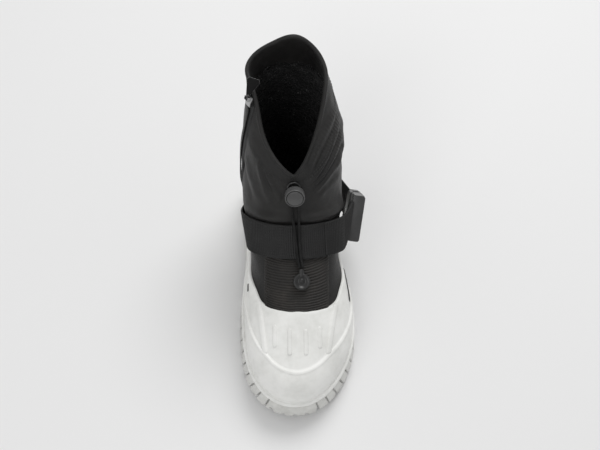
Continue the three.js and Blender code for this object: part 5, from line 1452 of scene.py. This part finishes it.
# %% Zip teeth
TOOTH_PITCH, TOOTH_SIZE, TOOTH_SHIFT = 1.5, (3.9, 0.95, 1.25), 1.05
STOP_SIZE = (7.0, 2.2, 1.7)
CHAIN_START, SLIDER_GAP = 4.6, 2.3
zip_levels = np.linspace(ZIP_LOW, ZIP_HIGH, 400)
zip_travel = run_along(zip_place(zip_levels, 0.0, 0.0))
top_travel = zip_travel[-1] - SLIDER_LENGTH - SLIDER_GAP
teeth = bmesh.new()


def zip_axes(level, across=0.0, offset=CHAIN_INSIDE):
    origin = zip_place(level, across, offset)
    up = unit(zip_place(level + 0.02, across, offset) - zip_place(level - 0.02, across, offset))
    out = unit(zip_place(level, across, offset + 1) - origin)
    side = unit(np.cross(up, out))
    return axes_at(origin, side, up, np.cross(side, up))


def rounded_block(shape, size, radius, segments, level, middle):
    """Adds a block with rounded edges on the zip line, its middle given in the line's own axes."""
    block = bmesh.ops.create_cube(shape, size=1, matrix=Matrix.Diagonal((*size, 1)))["verts"]
    edges = list({edge for vert in block for edge in vert.link_edges})
    made = bmesh.ops.bevel(shape, geom=edges, offset=radius, segments=segments, profile=0.5,
                           affect="EDGES", material=-1)["verts"]
    block = list({vert for vert in [*block, *made] if vert.is_valid})
    bmesh.ops.transform(shape, verts=block, matrix=zip_axes(level) @ Matrix.Translation(middle))


for count, travel in enumerate(np.arange(CHAIN_START, top_travel, TOOTH_PITCH / 2)):
    side = -1 if count % 2 else 1
    rounded_block(teeth, TOOTH_SIZE, 0.22, 1, float(np.interp(travel, zip_travel, zip_levels)),
                  (side * TOOTH_SHIFT, 0, 0.65))
bmesh.ops.recalc_face_normals(teeth, faces=teeth.faces)
print("teeth:", count + 1)
dress(finished(teeth, "zip_chain", 40), teeth_finish, instead_of=["zip_teeth"])
stop = bmesh.new()
rounded_block(stop, STOP_SIZE, 0.4, 3, ZIP_LOW + 0.09, (0, 0, STOP_SIZE[2] / 2))
dress(finished(stop, "bottom_stop", 40), metal_finish, instead_of=["zip_stop"])

# %% Insets
# Side, from and to by the sole's length, low and high level, width in levels
INSETS = {"inset_lateral": (1, 0.33, 0.43, 2.15, 2.85, 0.3),
          "inset_medial": (-1, 0.36, 0.382, 2.5, 2.66, 0.2)}
for inset_name, (side, start, end, low, high, width) in INSETS.items():
    def inset_place(across, along):
        level = low + (high - low) * along + (across - 0.5) * width
        angle = side * angle_at_length((start + (end - start) * along) * SOLE_LENGTH, level)
        inside = np.minimum(np.minimum(across, 1 - across) / 0.25, np.minimum(along, 1 - along) / 0.06)
        return on_boot(angle, level, SHELL_OUTSIDE - 0.2 + 1.1 * np.sqrt(np.clip(inside, 0, 1)))

    dress(laid_piece(inset_name + "_plate", 10, 40, inset_place), buckle_finish,
          instead_of=[inset_name])

# %% [markdown]
# ## Stitches
# A stitch is a short thread that sinks into the cloth at both ends, so each is a small flattened
# bead. They are set along seam lines at an even pitch.

# %% Stitch rows
STITCH_PITCH, STITCH_LENGTH, STITCH_WIDTH = 2.9, 2.2, 0.65
# Seams: by the panel's width, by level round the collar, and in mm from the middle of the zip
PANEL_SEAMS, COLLAR_SEAMS, TAPE_SEAMS = (0.045, 0.955), (7.9, 8.02), (-7.6, 7.6)


def stitch_row(shape, line, normals):
    """Adds stitches along points of a seam in mm."""
    travelled = run_along(line)
    for spot in np.arange(STITCH_PITCH, travelled[-1] - STITCH_PITCH / 2, STITCH_PITCH):
        origin, out, ahead = (np.array([np.interp(spot, travelled, column) for column in values.T])
                              for values in (line, normals, np.gradient(line, axis=0)))
        out, ahead = unit(out), unit(ahead)
        side = unit(np.cross(ahead, out))
        where = axes_at(origin, side, ahead, np.cross(side, ahead))
        bmesh.ops.create_uvsphere(shape, u_segments=6, v_segments=4, radius=0.5,
                                  matrix=where @ Matrix.Diagonal((STITCH_WIDTH, STITCH_LENGTH, 0.5, 1)))


def seam(angle, level, offset):
    return on_boot(angle, level, offset), boot_normal(angle, level)


stitches = bmesh.new()
along = np.linspace(0.01, 0.9, 60)
for across in PANEL_SEAMS:
    angle, level = panel_spot(across + 0 * along, along)
    stitch_row(stitches, *seam(angle, level, PANEL_OFFSET + 0.45))
turn = np.linspace(-math.pi, math.pi, 400)
zip_turn, zip_reach = math.radians(ZIP_DEGREES), math.radians(15)
behind_zip, before_zip = turn < zip_turn - zip_reach, turn > zip_turn + zip_reach
for level in COLLAR_SEAMS:
    for part in (turn[behind_zip], turn[before_zip & (turn < -0.2)], turn[turn > 0.2]):
        levels = level + 0 * part
        stitch_row(stitches, *seam(part, levels, shaft_relief(part, levels) + 0.05))
levels = np.linspace(ZIP_LOW + 0.1, ZIP_HIGH - 0.1, 120)
for across in TAPE_SEAMS:
    line = zip_place(levels, across, TAPE_OUTSIDE + 0.05)
    stitch_row(stitches, line, line - zip_place(levels, across, 0.0))
thread_finish = new_finish("thread", [(0.3, grey(0.018)), (0.8, grey(0.035))], 0.55, patch=200, grain=None)
dress(finished(stitches, "seam_stitches"), thread_finish)
